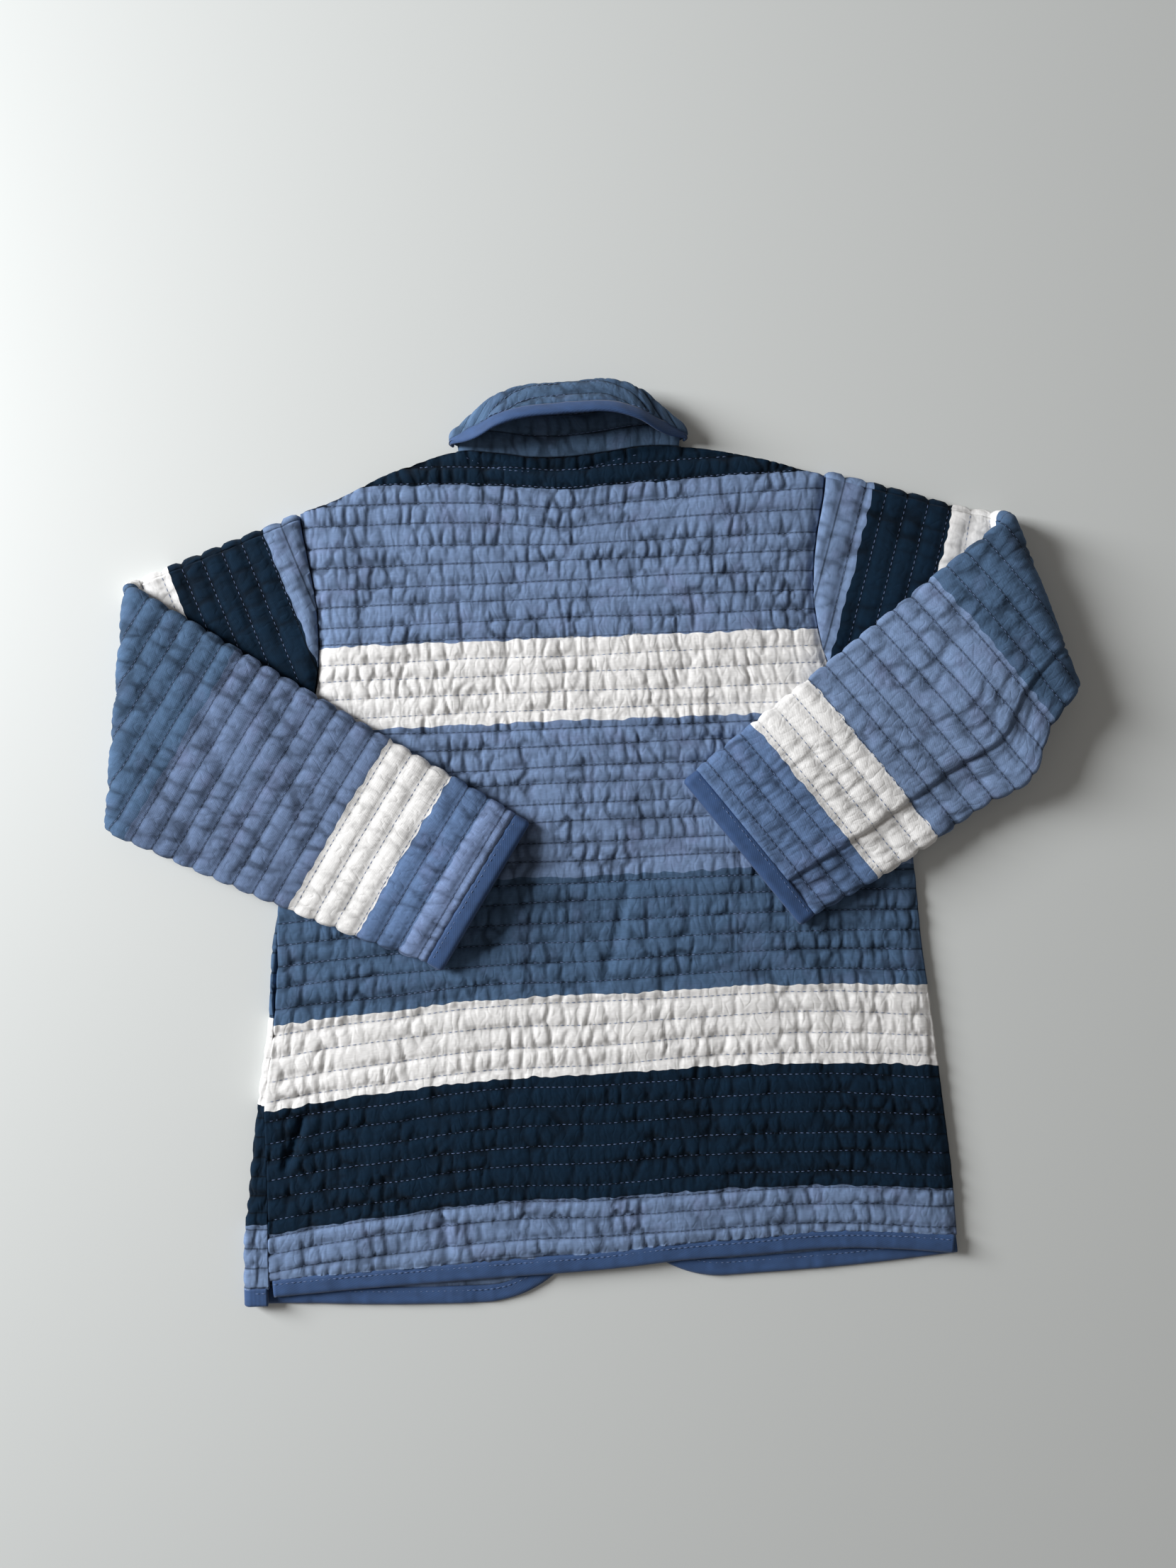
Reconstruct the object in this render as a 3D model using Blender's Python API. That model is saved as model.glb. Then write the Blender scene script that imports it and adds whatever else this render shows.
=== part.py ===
"""A child's quilted patchwork jacket, laid flat with its back up and both sleeves folded over the back.

Metres, +Z up. +X is to the right and +Y towards the collar. The shapes are worked out in
millimetres about the centre back line, and the finished pieces are moved together so that the
origin is the middle of the part's footprint.
"""

import math
from functools import partial

import bmesh
import bpy
import numpy as np

MM = 0.001

# Cloth and quilting, in millimetres
WALL = 3.7  # two cottons and the wadding between them
SEAM_GAP = 0.3
ARMHOLE_GAP = 1.9
NECK_GAP = 1.6
VALLEY = 1.3  # how far a line of quilting sinks below the crests
BODY_ROW = 9.9
SLEEVE_ROW = 11.2
COLLAR_ROW = 10.5
BINDING_WIDTH = 9.3
BINDING_THICK = 3.1  # the folded strip with the panel's edge pressed inside it
LAYER = 4.0  # height of the back's underside, just clear of the fronts
THICK = LAYER + WALL  # both layers together

# The back: height above the centre, then its left and right edges
BODY_SIDES = (
    (210, -141.0, 134.0),
    (178, -141.0, 131.5),
    (155, -137.7, 126.8),
    (135, -134.8, 124.5),
    (107, -133.7, 126.0),
    (86, -136.0, 131.5),
    (66, -140.5, 141.5),
    (47, -146.0, 156.0),
    (20, -152.0, 166.5),
    (-20, -159.5, 171.0),
    (-60, -162.0, 173.5),
    (-93, -165.0, 177.0),
    (-134, -170.5, 180.5),
    (-175, -171.6, 184.0),
    (-235, -172.0, 186.5),
)
ARMPIT = 47.0
BODY_TOP = 206.0
BODY_BOTTOM = -232.0
# Across, then the height of the back's top edge: shoulder, neck, shoulder
BACK_TOP = (
    (-142, 176.5),
    (-119, 184.5),
    (-98, 194.0),
    (-77, 201.0),
    (-58, 205.5),
    (-38, 203.7),
    (-19, 200.8),
    (0, 200.3),
    (19, 202.0),
    (38, 204.3),
    (58, 203.8),
    (80, 200.2),
    (103, 195.0),
    (121, 189.5),
    (135, 185.5),
)
NECK_HALF = 58.0
# Across, then the height of the back's lower edge inside its binding
BACK_HEM = (
    (-173, -220.5),
    (-138, -218.5),
    (-89, -216.3),
    (-52, -214.8),
    (4, -212.7),
    (41, -209.8),
    (78, -208.3),
    (120, -206.5),
    (157, -208.5),
    (187, -211.8),
)
# Across, then how far the quilting sags there at the level of the navy band
ROW_SAG = (
    (-172, -13.0),
    (-137, -8.0),
    (-100, -4.5),
    (-70, -1.5),
    (-39, 0.0),
    (0, 0.0),
    (45, 1.3),
    (85, 2.0),
    (130, 1.0),
    (186, -3.5),
)
SAG_STARTS = 60.0
SAG_FULL = -130.0
EDGE_ROUNDING = 1.3  # how much thinner the back is at its side and shoulder seams
EDGE_ROUNDED_OVER = 9.0
EDGE_FURROW_SHARE = 0.4  # the depth that a line of quilting keeps at those seams
NECK_PRESSED = 0.7
NECK_PRESSED_OVER = 6.0
HEM_THINS_OVER = 12.0
CUFF_THINS_OVER = 10.0

# The fronts: where each front edge stands, the hem and the rounded corner between them
FRONT_EDGE = {"front_left": -11.0, "front_right": 13.0}
FRONT_NECK_DROP = 34.0
CORNER = 52.0
# Across, then the height of each front's lower edge inside its binding
FRONT_HEM = {
    "front_left": ((-190, -224.5), (-150, -226.0), (-118, -227.8), (-85, -228.8), (-14, -229.0)),
    "front_right": ((16, -220.5), (53, -220.2), (78, -219.4), (127, -217.4), (188, -212.5)),
}
# Height, the left front's fold line round the side, and how much cloth comes back over the fold
SIDE_WRAP = (
    (-235, -182.8, 16.3),
    (-203, -182.2, 15.9),
    (-173, -178.4, 13.0),
    (-148, -175.0, 9.6),
    (-130, -172.0, 7.0),
    (-112, -169.3, 6.8),
    (-93, -165.6, 6.4),
    (-60, -162.2, 4.0),
    (-23, -159.8, 0.2),
    (47, -146.0, 0.0),
)
FOLD_AXIS = (WALL + LAYER) / 2  # height of the line that the front rolls round
FOLD_MIDDLE = FOLD_AXIS - WALL / 2

# The sleeves, laid out flat before they are folded. Heading and crease are angles from +X in
# degrees, and side is +1 where the crease lies to the left of the body
SLEEVES = {
    "sleeve_left": {
        "side": 1,
        "start": (-141.2, 177.6),
        "heading": 200.0,
        "bend": 0.0,
        "crease_at": (-231.5, 79.0),
        "crease": 83.5,
        "crease_from": 15,
        "crease_to": 30,
        "axis_height": 8.4,
        "length": 330.0,
        "rest": 8.5,
        "drop_over": 40.0,
    },
    "sleeve_right": {
        "side": -1,
        "start": (132.6, 188.5),
        "heading": -16.5,
        "bend": 17.5,
        "crease_at": (227.5, 118.0),
        "crease": 109.0,
        "crease_from": 13,
        "crease_to": 30,
        "axis_height": 13.0,
        "length": 309.0,
        "rest": 8.5,
        "drop_over": 70.0,
    },
}
SWELLS_OVER = 60.0  # past the crease, the front wall swells up over this distance
BEND_FROM = 65.0
BEND_OVER = 50.0
# Along the sleeve, its width, and how far each wall bulges: the back wall, then the front wall
SLEEVE_SECTIONS = {
    "sleeve_left": (
        (0, 119, 0, 0),
        (60, 119, 0, 0),
        (110, 118, 0, 0),
        (165, 114, 0, 1.5),
        (230, 106, 0, 2.0),
        (290, 97, 0, 4.5),
        (330, 90, 0, 8.0),
    ),
    "sleeve_right": (
        (0, 119, 0, 0),
        (50, 113, 1.5, 0),
        (90, 99, 3.0, 0),
        (131, 92, 2.0, 2.0),
        (157, 98, 1.0, 3.5),
        (180, 112, 0, 5.0),
        (205, 109, 0, 4.5),
        (255, 105, 0, 4.0),
        (309, 97, 0, 3.0),
    ),
}

# The collar, from the centre back to a front end. Across and level of the neck seam, the way the
# roll faces in degrees, the stand, the roll's radius, the fall, its slope in degrees and the
# cloth's thickness
COLLAR_STATIONS = (
    (0.0, 7.2, 90, 29.0, 6.0, 22.5, 38, 3.0),
    (20.0, 7.2, 90, 27.5, 6.0, 22.5, 37, 3.0),
    (36.0, 7.2, 90, 21.5, 5.6, 20.5, 33, 3.0),
    (47.0, 7.2, 90, 13.5, 4.6, 14.5, 24, 2.8),
    (53.5, 6.9, 75, 8.5, 3.2, 8.0, 12, 2.4),
    (56.5, 5.8, 40, 7.0, 2.4, 5.0, 4, 2.0),
    (57.2, 4.6, 0, 6.5, 1.7, 4.0, 0, 1.8),
    (56.0, 3.4, -55, 7.0, 1.1, 4.5, 0, 1.6),
    (52.0, 2.9, -90, 9.0, 1.0, 7.0, 0, 1.6),
    (36.0, 2.9, -90, 12.0, 1.0, 10.0, 0, 1.6),
    (17.0, 2.9, -90, 12.0, 1.0, 10.0, 0, 1.6),
)
COLLAR_SOFTNESS = 0.8
COLLAR_TURNS = (5.0, 7.5)  # between these stations the neck seam passes from back to front
COLLAR_BOUND_TO = 6.2  # the last station, counted from the centre back, that the binding reaches
COLLAR_BINDING_WIDTH = 8.5
COLLAR_BINDING_SHARE = 0.55  # the most of a narrow fall that the binding takes

# Resolution
LINES_PER_ROW = 2
PLAIN_ROWS = 3
PLAIN_SLEEVE_LINES = 0.35
BACK_COLUMNS = 16
FRONT_COLUMNS = (0.0, 0.05, 0.13, 0.25, 0.45, 0.7, 1.0)  # shares of the way to the side
WRAP_COLUMNS = (0.12, 0.24, 0.36, 0.5, 1.0)  # shares of the cloth that comes round the side
COLLAR_COLUMNS = 12
FLAT_POINTS = 8
ARC_POINTS = 2

# Colours as linear values, with a roughness
COLOURS = {
    "quilted cotton, back": (0.22, 0.29, 0.50, 0.85),
    "quilted cotton, front": (0.20, 0.27, 0.47, 0.85),
    "quilted cotton, sleeve": (0.13, 0.21, 0.36, 0.85),
    "quilted cotton, collar": (0.07, 0.14, 0.27, 0.85),
    "cotton twill binding": (0.045, 0.11, 0.27, 0.8),
}


def eased(share):
    """0 to 1 with a soft start and end."""
    share = np.clip(share, 0.0, 1.0)
    return share * share * (3 - 2 * share)


def through(table, at, column=1):
    """A smooth curve through one column of a table, read at the first column's values."""
    rows = np.array(sorted(table), float)
    x, y = rows[:, 0], rows[:, column]
    slope = np.gradient(y, x)
    at = np.clip(np.asarray(at, float), x[0], x[-1])
    i = np.clip(np.searchsorted(x, at) - 1, 0, len(x) - 2)
    span = x[i + 1] - x[i]
    t = (at - x[i]) / span
    start, end = y[i], y[i + 1]
    rise = t * t * (3 - 2 * t)
    return (
        start + (end - start) * rise
        + span * slope[i] * t * (1 - t) ** 2
        - span * slope[i + 1] * t * t * (1 - t)
    )


def furrow(along, row):
    """How deep the quilting lies below its crests: a line of stitches at every whole row."""
    phase = np.abs(((along / row + 0.5) % 1.0) - 0.5) * 2
    return VALLEY * (1 - phase) ** 2


# Meshes

def material(name):
    """The finish of one piece."""
    made = bpy.data.materials.get(name) or bpy.data.materials.new(name)
    made.use_nodes = True
    shader = made.node_tree.nodes["Principled BSDF"]
    *colour, roughness = COLOURS[name]
    shader.inputs["Base Color"].default_value = (*colour, 1)
    shader.inputs["Roughness"].default_value = roughness
    shader.inputs["Metallic"].default_value = 0
    return made


def corner_at(mesh, known, place):
    """The mesh's point at a place in millimetres, made once however many rows meet there."""
    key = tuple(np.round(place, 3))
    if key not in known:
        known[key] = mesh.verts.new(np.array(place) * MM)
    return known[key]


def face(mesh, corners):
    """A face between corners, some of which may be one point."""
    distinct = list(dict.fromkeys(corners))
    if len(distinct) > 2:
        mesh.faces.new(distinct)


def finished(name, mesh, finish):
    """Turns a closed bmesh into a named piece of the jacket."""
    bmesh.ops.triangulate(mesh, faces=mesh.faces)
    bmesh.ops.recalc_face_normals(mesh, faces=mesh.faces)
    data = bpy.data.meshes.new(name)
    mesh.to_mesh(data)
    mesh.free()
    data.shade_smooth()
    data.set_sharp_from_angle(angle=math.radians(40))
    piece = bpy.data.objects.new(name, data)
    data.materials.append(material(finish))
    bpy.data.collections["quilted_jacket"].objects.link(piece)
    return piece


def travelled(points):
    """Each point's share of the length of a chain of points."""
    steps = [(far.co - near.co).length for near, far in zip(points, points[1:])]
    distance = np.concatenate([[0.0], np.cumsum(steps)])
    return distance / max(distance[-1], 1e-9)


def rim(mesh, first, second):
    """Joins two chains of points, matched one to one or by their shares of the length."""
    if len(first) == len(second):
        here = there = np.arange(len(first))
    else:
        here, there = travelled(first), travelled(second)
    i, j = 0, 0
    while i < len(first) - 1 or j < len(second) - 1:
        ahead = j == len(second) - 1 or (i < len(first) - 1 and here[i + 1] <= there[j + 1])
        face(mesh, (first[i], second[j], first[i + 1] if ahead else second[j + 1]))
        i, j = (i + 1, j) if ahead else (i, j + 1)


def wall(name, outer, inner, finish, ring=False):
    """A closed wall between two grids of points, each an array of rows, columns and places."""
    mesh = bmesh.new()
    grids = []
    for grid in (outer, inner):
        known = {}
        made = [[corner_at(mesh, known, place) for place in row] for row in grid]
        if ring:
            made = [row + row[:1] for row in made]
        for near, far in zip(made, made[1:]):
            for k in range(len(near) - 1):
                face(mesh, (near[k], near[k + 1], far[k + 1], far[k]))
        grids.append(made)
    outside, inside = grids
    for end in (0, -1):
        rim(mesh, outside[end], inside[end])
        if not ring:
            rim(mesh, [row[end] for row in outside], [row[end] for row in inside])
    return finished(name, mesh, finish)


def strip(name, rings, finish, closed=False):
    """A strip of cloth from rings of section points, capped at its ends unless it closes."""
    mesh = bmesh.new()
    known = {}
    made = [[corner_at(mesh, known, place) for place in ring] for ring in rings]
    pairs = list(zip(made, made[1:] + made[:1])) if closed else list(zip(made, made[1:]))
    for near, far in pairs:
        for k in range(len(near)):
            face(mesh, (near[k - 1], near[k], far[k], far[k - 1]))
    if not closed:
        for end in (made[0], made[-1]):
            face(mesh, end)
    return finished(name, mesh, finish)


# The back and the fronts

def quilted_rows():
    """Heights of the lines across the quilted side of a panel, top to bottom."""
    step = BODY_ROW / LINES_PER_ROW
    return np.arange(math.ceil(BODY_TOP / step), math.floor(BODY_BOTTOM / step) - 1, -1) * step


def plain_rows():
    """Fewer lines for a plain side: every row by a curved edge, and every few rows elsewhere."""
    rows = np.arange(math.ceil(BODY_TOP / BODY_ROW), math.floor(BODY_BOTTOM / BODY_ROW) - 1, -1)
    curved = (rows * BODY_ROW > ARMPIT - BODY_ROW) | (rows * BODY_ROW < BODY_BOTTOM + CORNER)
    return rows[curved | (rows % PLAIN_ROWS == 0)] * BODY_ROW


def sag(x, height):
    """How far a line of quilting hangs lower towards the sides and the hem."""
    return through(ROW_SAG, x) * eased((SAG_STARTS - height) / (SAG_STARTS - SAG_FULL))


def quilting_height(x, y):
    """The height that a place on the back had before its rows sagged."""
    height = y
    for _ in range(4):
        height = y - sag(x, height)
    return height


def no_sag(x, height):
    """Rows that run straight across."""
    return 0.0


def panel_points(height, across, outline, hang):
    """Where one line of quilting crosses a panel's columns, kept inside the panel's outline."""
    y = height
    for _ in range(25):
        x = across(y)
        lowest, highest = outline(x)
        y = np.clip(height + hang(x, height), lowest, highest)
    return x, y


def back_left(y):
    """The back's left edge: its armhole, then where the left front comes round to meet it."""
    beyond = np.clip(through(SIDE_WRAP, y, 2) - np.pi * FOLD_MIDDLE, 0, None)
    side = through(SIDE_WRAP, y, 1) + beyond + 3 * SEAM_GAP
    return np.where(y < ARMPIT, side, through(BODY_SIDES, y, 1))


def back_columns(y):
    """Places across the back at a height, closer together towards its sides."""
    even = np.linspace(0, 1, BACK_COLUMNS)
    share = 0.65 * even + 0.35 * (1 - np.cos(np.pi * even)) / 2
    left, right = back_left(y), through(BODY_SIDES, y, 2)
    return left + (right - left) * share


def back_outline(x):
    """The back's lowest and highest points at each place across it."""
    return through(BACK_HEM, x), through(BACK_TOP, x)


def back_top(x, y):
    """Height of the back's quilted top, which thins towards its seams."""
    to_right = through(BODY_SIDES, y, 2) - x
    to_top = through(BACK_TOP, x) - y
    right_edge = eased(1 - to_right / EDGE_ROUNDED_OVER) * (y < ARMPIT)
    shoulder = eased(1 - to_top / EDGE_ROUNDED_OVER) * (np.abs(x) > NECK_HALF)
    hem = eased(1 - (y - through(BACK_HEM, x)) / HEM_THINS_OVER)
    fallen = np.maximum(right_edge, shoulder) * (1 - hem)
    neck = eased(1 - to_top / NECK_PRESSED_OVER) * (np.abs(x) <= NECK_HALF)
    top = THICK - EDGE_ROUNDING * fallen - (WALL - BINDING_THICK) * hem - NECK_PRESSED * neck
    return top - furrow(quilting_height(x, y), BODY_ROW) * (1 - (1 - EDGE_FURROW_SHARE) * fallen)


def make_back():
    """One panel from neck to hem, quilted in rows, with plain cloth under it."""
    grids = []
    for heights, is_top in ((quilted_rows(), True), (plain_rows(), False)):
        rows = []
        for height in heights:
            x, y = panel_points(height, back_columns, back_outline, sag)
            z = back_top(x, y) if is_top else np.full_like(x, LAYER)
            rows.append(np.stack([x, y, z], axis=1))
        grids.append(rows)
    return wall("back", grids[0], grids[1], "quilted cotton, back")


def front_outline(name, x):
    """Lowest and highest point of a front at each place across it."""
    edge = FRONT_EDGE[name]
    from_edge = np.abs(np.asarray(x, float) - edge)
    inside = np.clip(1 - from_edge / CORNER, 0, 1)
    lowest = through(FRONT_HEM[name], x) + CORNER * (1 - np.sqrt(1 - inside * inside))
    to_neck = np.clip((NECK_HALF - np.abs(x)) / (NECK_HALF - abs(edge)), 0, 1)
    highest = through(BACK_TOP, x) - FRONT_NECK_DROP * to_neck ** 0.9
    return lowest, highest


def wrapped(x, z, fold):
    """Rolls the cloth to the left of a fold line up and back over itself."""
    past = fold - x
    angle = np.clip(past / FOLD_MIDDLE, 0, np.pi)
    radius = FOLD_AXIS - z
    beyond = np.clip(past - np.pi * FOLD_MIDDLE, 0, None)
    rolled = fold - radius * np.sin(angle) + beyond
    return np.where(past > 0, rolled, x), np.where(past > 0, FOLD_AXIS - radius * np.cos(angle), z)


def front_columns(name, y):
    """Places across a front at a height: to its side seam, or round the side and back."""
    edge = FRONT_EDGE[name]
    flat = np.array(FRONT_COLUMNS)
    if name == "front_right":
        return edge + (through(BODY_SIDES, y, 2) - edge) * flat
    flat = np.append(flat, np.ones(len(WRAP_COLUMNS)))
    over = np.append(np.zeros(len(FRONT_COLUMNS)), WRAP_COLUMNS)
    fold = np.where(y < ARMPIT, through(SIDE_WRAP, y, 1), through(BODY_SIDES, y, 1))
    beyond = np.where(y < ARMPIT, through(SIDE_WRAP, y, 2), 0.0)
    return edge + (fold - edge) * flat - beyond * over


def make_front(name):
    """A flat panel under the back. The left one comes round the side and shows on top."""
    grids = []
    across = partial(front_columns, name)
    outline = partial(front_outline, name)
    for level in (0.0, WALL):
        rows = []
        for height in plain_rows():
            x, y = panel_points(height, across, outline, no_sag)
            z = np.full_like(x, level)
            if name == "front_left":
                x, z = wrapped(x, z, through(SIDE_WRAP, y, 1))
            rows.append(np.stack([x, y, z], axis=1))
        grids.append(rows)
    return wall(name, grids[0], grids[1], "quilted cotton, front")


# The sleeves

def turned(degrees):
    """A unit direction in the plan."""
    angle = math.radians(degrees)
    return np.array([math.cos(angle), math.sin(angle)])


def sleeve_section(name, along):
    """Width and the two walls' bulges, at a length along the sleeve."""
    table = SLEEVE_SECTIONS[name]
    return [through(table, along, column) for column in (1, 2, 3)]


def sleeve_place(name, along, flat, angle, depth):
    """A point of a folded sleeve: along it, across its flat, round its edge and into its wall."""
    cut = SLEEVES[name]
    side = cut["side"]
    width, back_bulge, front_bulge = sleeve_section(name, along)
    half = THICK / 2
    across = (width / 2 - half) * (flat + 1) + half + (half - depth) * np.cos(angle)
    up = half + (half - depth) * np.sin(angle)
    # The flat layout, whose heading may turn a little past the elbow
    steps = np.linspace(0, 400, 401)
    turns = np.radians(cut["heading"] + cut["bend"] * eased((steps - BEND_FROM) / BEND_OVER))
    line_x = cut["start"][0] + np.concatenate([[0], np.cumsum(np.cos(turns[:-1]))])
    line_y = cut["start"][1] + np.concatenate([[0], np.cumsum(np.sin(turns[:-1]))])
    turn = np.interp(along, steps, turns)
    x = np.interp(along, steps, line_x) - side * np.sin(turn) * across
    y = np.interp(along, steps, line_y) + side * np.cos(turn) * across
    # The fold: past the crease the sleeve rolls up and lies back over the body
    crease = turned(cut["crease"])
    away = side * np.array([-crease[1], crease[0]])
    from_crease = (x - cut["crease_at"][0], y - cut["crease_at"][1])
    past = from_crease[0] * away[0] + from_crease[1] * away[1]
    on_crease = from_crease[0] * crease[0] + from_crease[1] * crease[1]
    axis = cut["axis_height"]
    middle = axis - half
    swell = np.where(np.sin(angle) > 0, back_bulge, -front_bulge * eased(past / SWELLS_OVER))
    up = up + (1 - flat ** 2) * swell * np.abs(np.sin(angle))
    roll = np.clip(past / middle, 0, np.pi)
    radius = axis - up
    returned = np.clip(past - np.pi * middle, 0, None)
    high = 2 * axis - THICK
    rest = high + (cut["rest"] - high) * eased(returned / cut["drop_over"])
    reach = np.where(past <= 0, past, np.where(returned > 0, -returned, radius * np.sin(roll)))
    level = np.where(past <= 0, up, axis - radius * np.cos(roll))
    level = np.where(returned > 0, rest + THICK - up, level)
    x = cut["crease_at"][0] + reach * away[0] + on_crease * crease[0]
    y = cut["crease_at"][1] + reach * away[1] + on_crease * crease[1]
    return np.stack([x, y, level], axis=-1)


def sleeve_ring():
    """Places round a flattened tube: a share of the flat and an angle of the rounded edge."""
    flats = 2 * np.linspace(0, 1, FLAT_POINTS) ** 0.8 - 1
    arcs = np.linspace(0, np.pi, ARC_POINTS + 2)[1:-1]
    ring = [(flat, np.pi / 2) for flat in flats]
    ring += [(1.0, np.pi / 2 - arc) for arc in arcs]
    ring += [(flat, -np.pi / 2) for flat in flats[::-1]]
    ring += [(-1.0, -np.pi / 2 - arc) for arc in arcs]
    return np.array(ring)


def armhole_start(name, across):
    """How far along the sleeve its cloth begins, so that it meets the armhole."""
    cut = SLEEVES[name]
    column = 1 if name == "sleeve_left" else 2
    heading = turned(cut["heading"])
    sideways = cut["side"] * np.array([-heading[1], heading[0]])
    heights = np.linspace(ARMPIT, cut["start"][1] - 1, 30)
    edge = np.stack([through(BODY_SIDES, heights, column), heights], axis=1) - cut["start"]
    table = np.stack([edge @ sideways, edge @ heading], axis=1)[::-1]
    return np.interp(across, table[:, 0], table[:, 1]) + ARMHOLE_GAP


def sleeve_stops(name, lines):
    """Lengths along a sleeve where its rings lie, closer together round the crease."""
    cut = SLEEVES[name]
    step = SLEEVE_ROW / lines
    stops = set(np.arange(0, cut["length"] - 0.3 * step, step))
    stops |= {cut["length"]}
    if lines > 1:
        stops |= set(np.arange(cut["crease_from"] * 2, cut["crease_to"] * 2) * step / 2)
    return np.array(sorted(stops))


def sleeve_grid(name, lines, quilted):
    """Points of one side of the sleeve's wall, in rings from the armhole to the cuff."""
    ring = sleeve_ring()
    flat, angle = ring[:, 0], ring[:, 1]
    width = sleeve_section(name, 40.0)[0]
    across = (width - THICK) * (flat + 1) / 2 + THICK / 2 * (1 + np.cos(angle))
    start = armhole_start(name, across)
    rows = []
    for distance in sleeve_stops(name, lines):
        at = np.maximum(distance, start)
        cuff = eased(1 - (SLEEVES[name]["length"] - at) / CUFF_THINS_OVER)
        depth = furrow(at, SLEEVE_ROW) * (1 - cuff / 2) if quilted else np.full_like(at, WALL)
        rows.append(sleeve_place(name, at, flat, angle, depth))
    return np.array(rows)


def make_sleeve(name):
    """A flattened tube, folded once so that its cuff lies on the back."""
    outer = sleeve_grid(name, LINES_PER_ROW, True)
    inner = sleeve_grid(name, PLAIN_SLEEVE_LINES, False)
    return wall(name, outer, inner, "quilted cotton, sleeve", ring=True)


def folded_strip(width, thick):
    """Section of a binding: how far out from its seam, and how high above its underside."""
    return (
        (SEAM_GAP, 0.0),
        (SEAM_GAP, thick - 0.3),
        (SEAM_GAP + 1.5, thick),
        (width - 2.0, thick),
        (width - 0.5, 0.75 * thick),
        (width, 0.45 * thick),
        (width - 0.7, 0.0),
    )


def make_cuff_binding(sleeve, name):
    """The twill strip folded round the cuff's edge."""
    length = SLEEVES[sleeve]["length"]
    reach, high = np.array(folded_strip(BINDING_WIDTH, BINDING_THICK)).T
    same = np.ones_like(reach)
    rings = [
        sleeve_place(sleeve, length + reach, flat * same, angle * same, WALL - high)
        for flat, angle in sleeve_ring()
    ]
    return strip(name, rings, "cotton twill binding", closed=True)


# The hem and front bindings

def along_edge(path, outward, under):
    """Rings of a binding along a panel's edge, from the edge's points and directions."""
    section = folded_strip(BINDING_WIDTH, BINDING_THICK)
    rings = []
    for point, away in zip(path, outward):
        rings.append(np.array([(*(point + away * reach), under + high) for reach, high in section]))
    return rings


def outward_of(path):
    """Directions square to a path, to the right of the way it runs."""
    run = np.gradient(path, axis=0)
    run /= np.linalg.norm(run, axis=1)[:, None]
    return np.stack([run[:, 1], -run[:, 0]], axis=1)


def make_hem_binding():
    """The strip along the back's hem, from side to side."""
    x = np.linspace(back_left(-220.0) + 1.5, through(BODY_SIDES, -212.0, 2) - 1.5, 26)
    path = np.stack([x, through(BACK_HEM, x)], axis=1)
    rings = along_edge(path, outward_of(path), LAYER)
    return strip("binding_hem_back", rings, "cotton twill binding")


def make_front_binding(front, name):
    """The strip along a front's hem, round its corner and up its front edge."""
    side = 1 if front == "front_left" else -1
    edge = FRONT_EDGE[front]
    outer = -180.0 if side > 0 else 185.5
    x = np.linspace(outer, edge - side * CORNER, 13)
    hem = np.stack([x, through(FRONT_HEM[front], x)], axis=1)
    turn = np.radians(np.linspace(0, 90, 10))[1:]
    x = edge - side * CORNER * (1 - np.sin(turn))
    corner = np.stack([x, front_outline(front, x)[0]], axis=1)
    rise = np.linspace(corner[-1, 1], front_outline(front, edge)[1] - 3, 8)[1:]
    path = np.concatenate([hem, corner, np.stack([np.full(7, edge), rise], axis=1)])
    rings = along_edge(path, outward_of(path) * side, 0.0)
    return strip(name, rings, "cotton twill binding")


# The collar

def collar_station(at):
    """The collar's sizes at a place counted from the centre back, right positive."""
    table = [(k, *row) for k, row in enumerate(COLLAR_STATIONS)]
    x, z, way, *sizes = [float(through(table, abs(at), column)) for column in range(1, 9)]
    if at < 0:
        x, way = -x, 180 - way
    first, last = COLLAR_TURNS
    front = eased((abs(at) - first) / (last - first))
    front_neck = front_outline("front_left" if at < 0 else "front_right", x)[1]
    neck = (1 - front) * through(BACK_TOP, x) + front * front_neck
    return (x, float(neck), z, way, *sizes)


def collar_binding_width(fall):
    """The bound part of a fall."""
    return min(COLLAR_BINDING_WIDTH, COLLAR_BINDING_SHARE * fall)


def collar_place(at, share, beyond, level):
    """A point of the collar: along the neck, from the seam to the binding or past it, and its face."""
    x, y, z, way, stand, roll, fall, slope, thick = collar_station(at)
    end = math.radians(180 - slope)
    arc = roll * end
    run = share * (stand + arc + fall - collar_binding_width(fall)) + beyond
    turn = min(max(run - stand, 0) / roll, end)
    past = max(run - stand - arc, 0)
    reach = min(run, stand) + roll * math.sin(turn) + past * math.cos(end)
    rise = roll * (1 - math.cos(turn)) + past * math.sin(end)
    reach += level * thick / 2 * math.sin(turn)
    rise -= level * thick / 2 * math.cos(turn)
    out = turned(way)
    return np.array([x + out[0] * rise, y + NECK_GAP + reach, z + out[1] * rise])


def collar_grid(stations, shares, level):
    """Points of one face of the collar, its outer face quilted."""
    rows = []
    for at in stations:
        _, _, _, _, stand, roll, fall, slope, thick = collar_station(at)
        width = stand + roll * math.radians(180 - slope) + fall - collar_binding_width(fall)
        shown = eased(COLLAR_TURNS[0] - abs(at)) if level > 0 else 0
        row = []
        for share in shares:
            sunk = furrow(share * width, COLLAR_ROW) * shown / (thick / 2)
            row.append(collar_place(at, share, 0.0, level * (1 - COLLAR_SOFTNESS * sunk)))
        rows.append(row)
    return np.array(rows)


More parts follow.
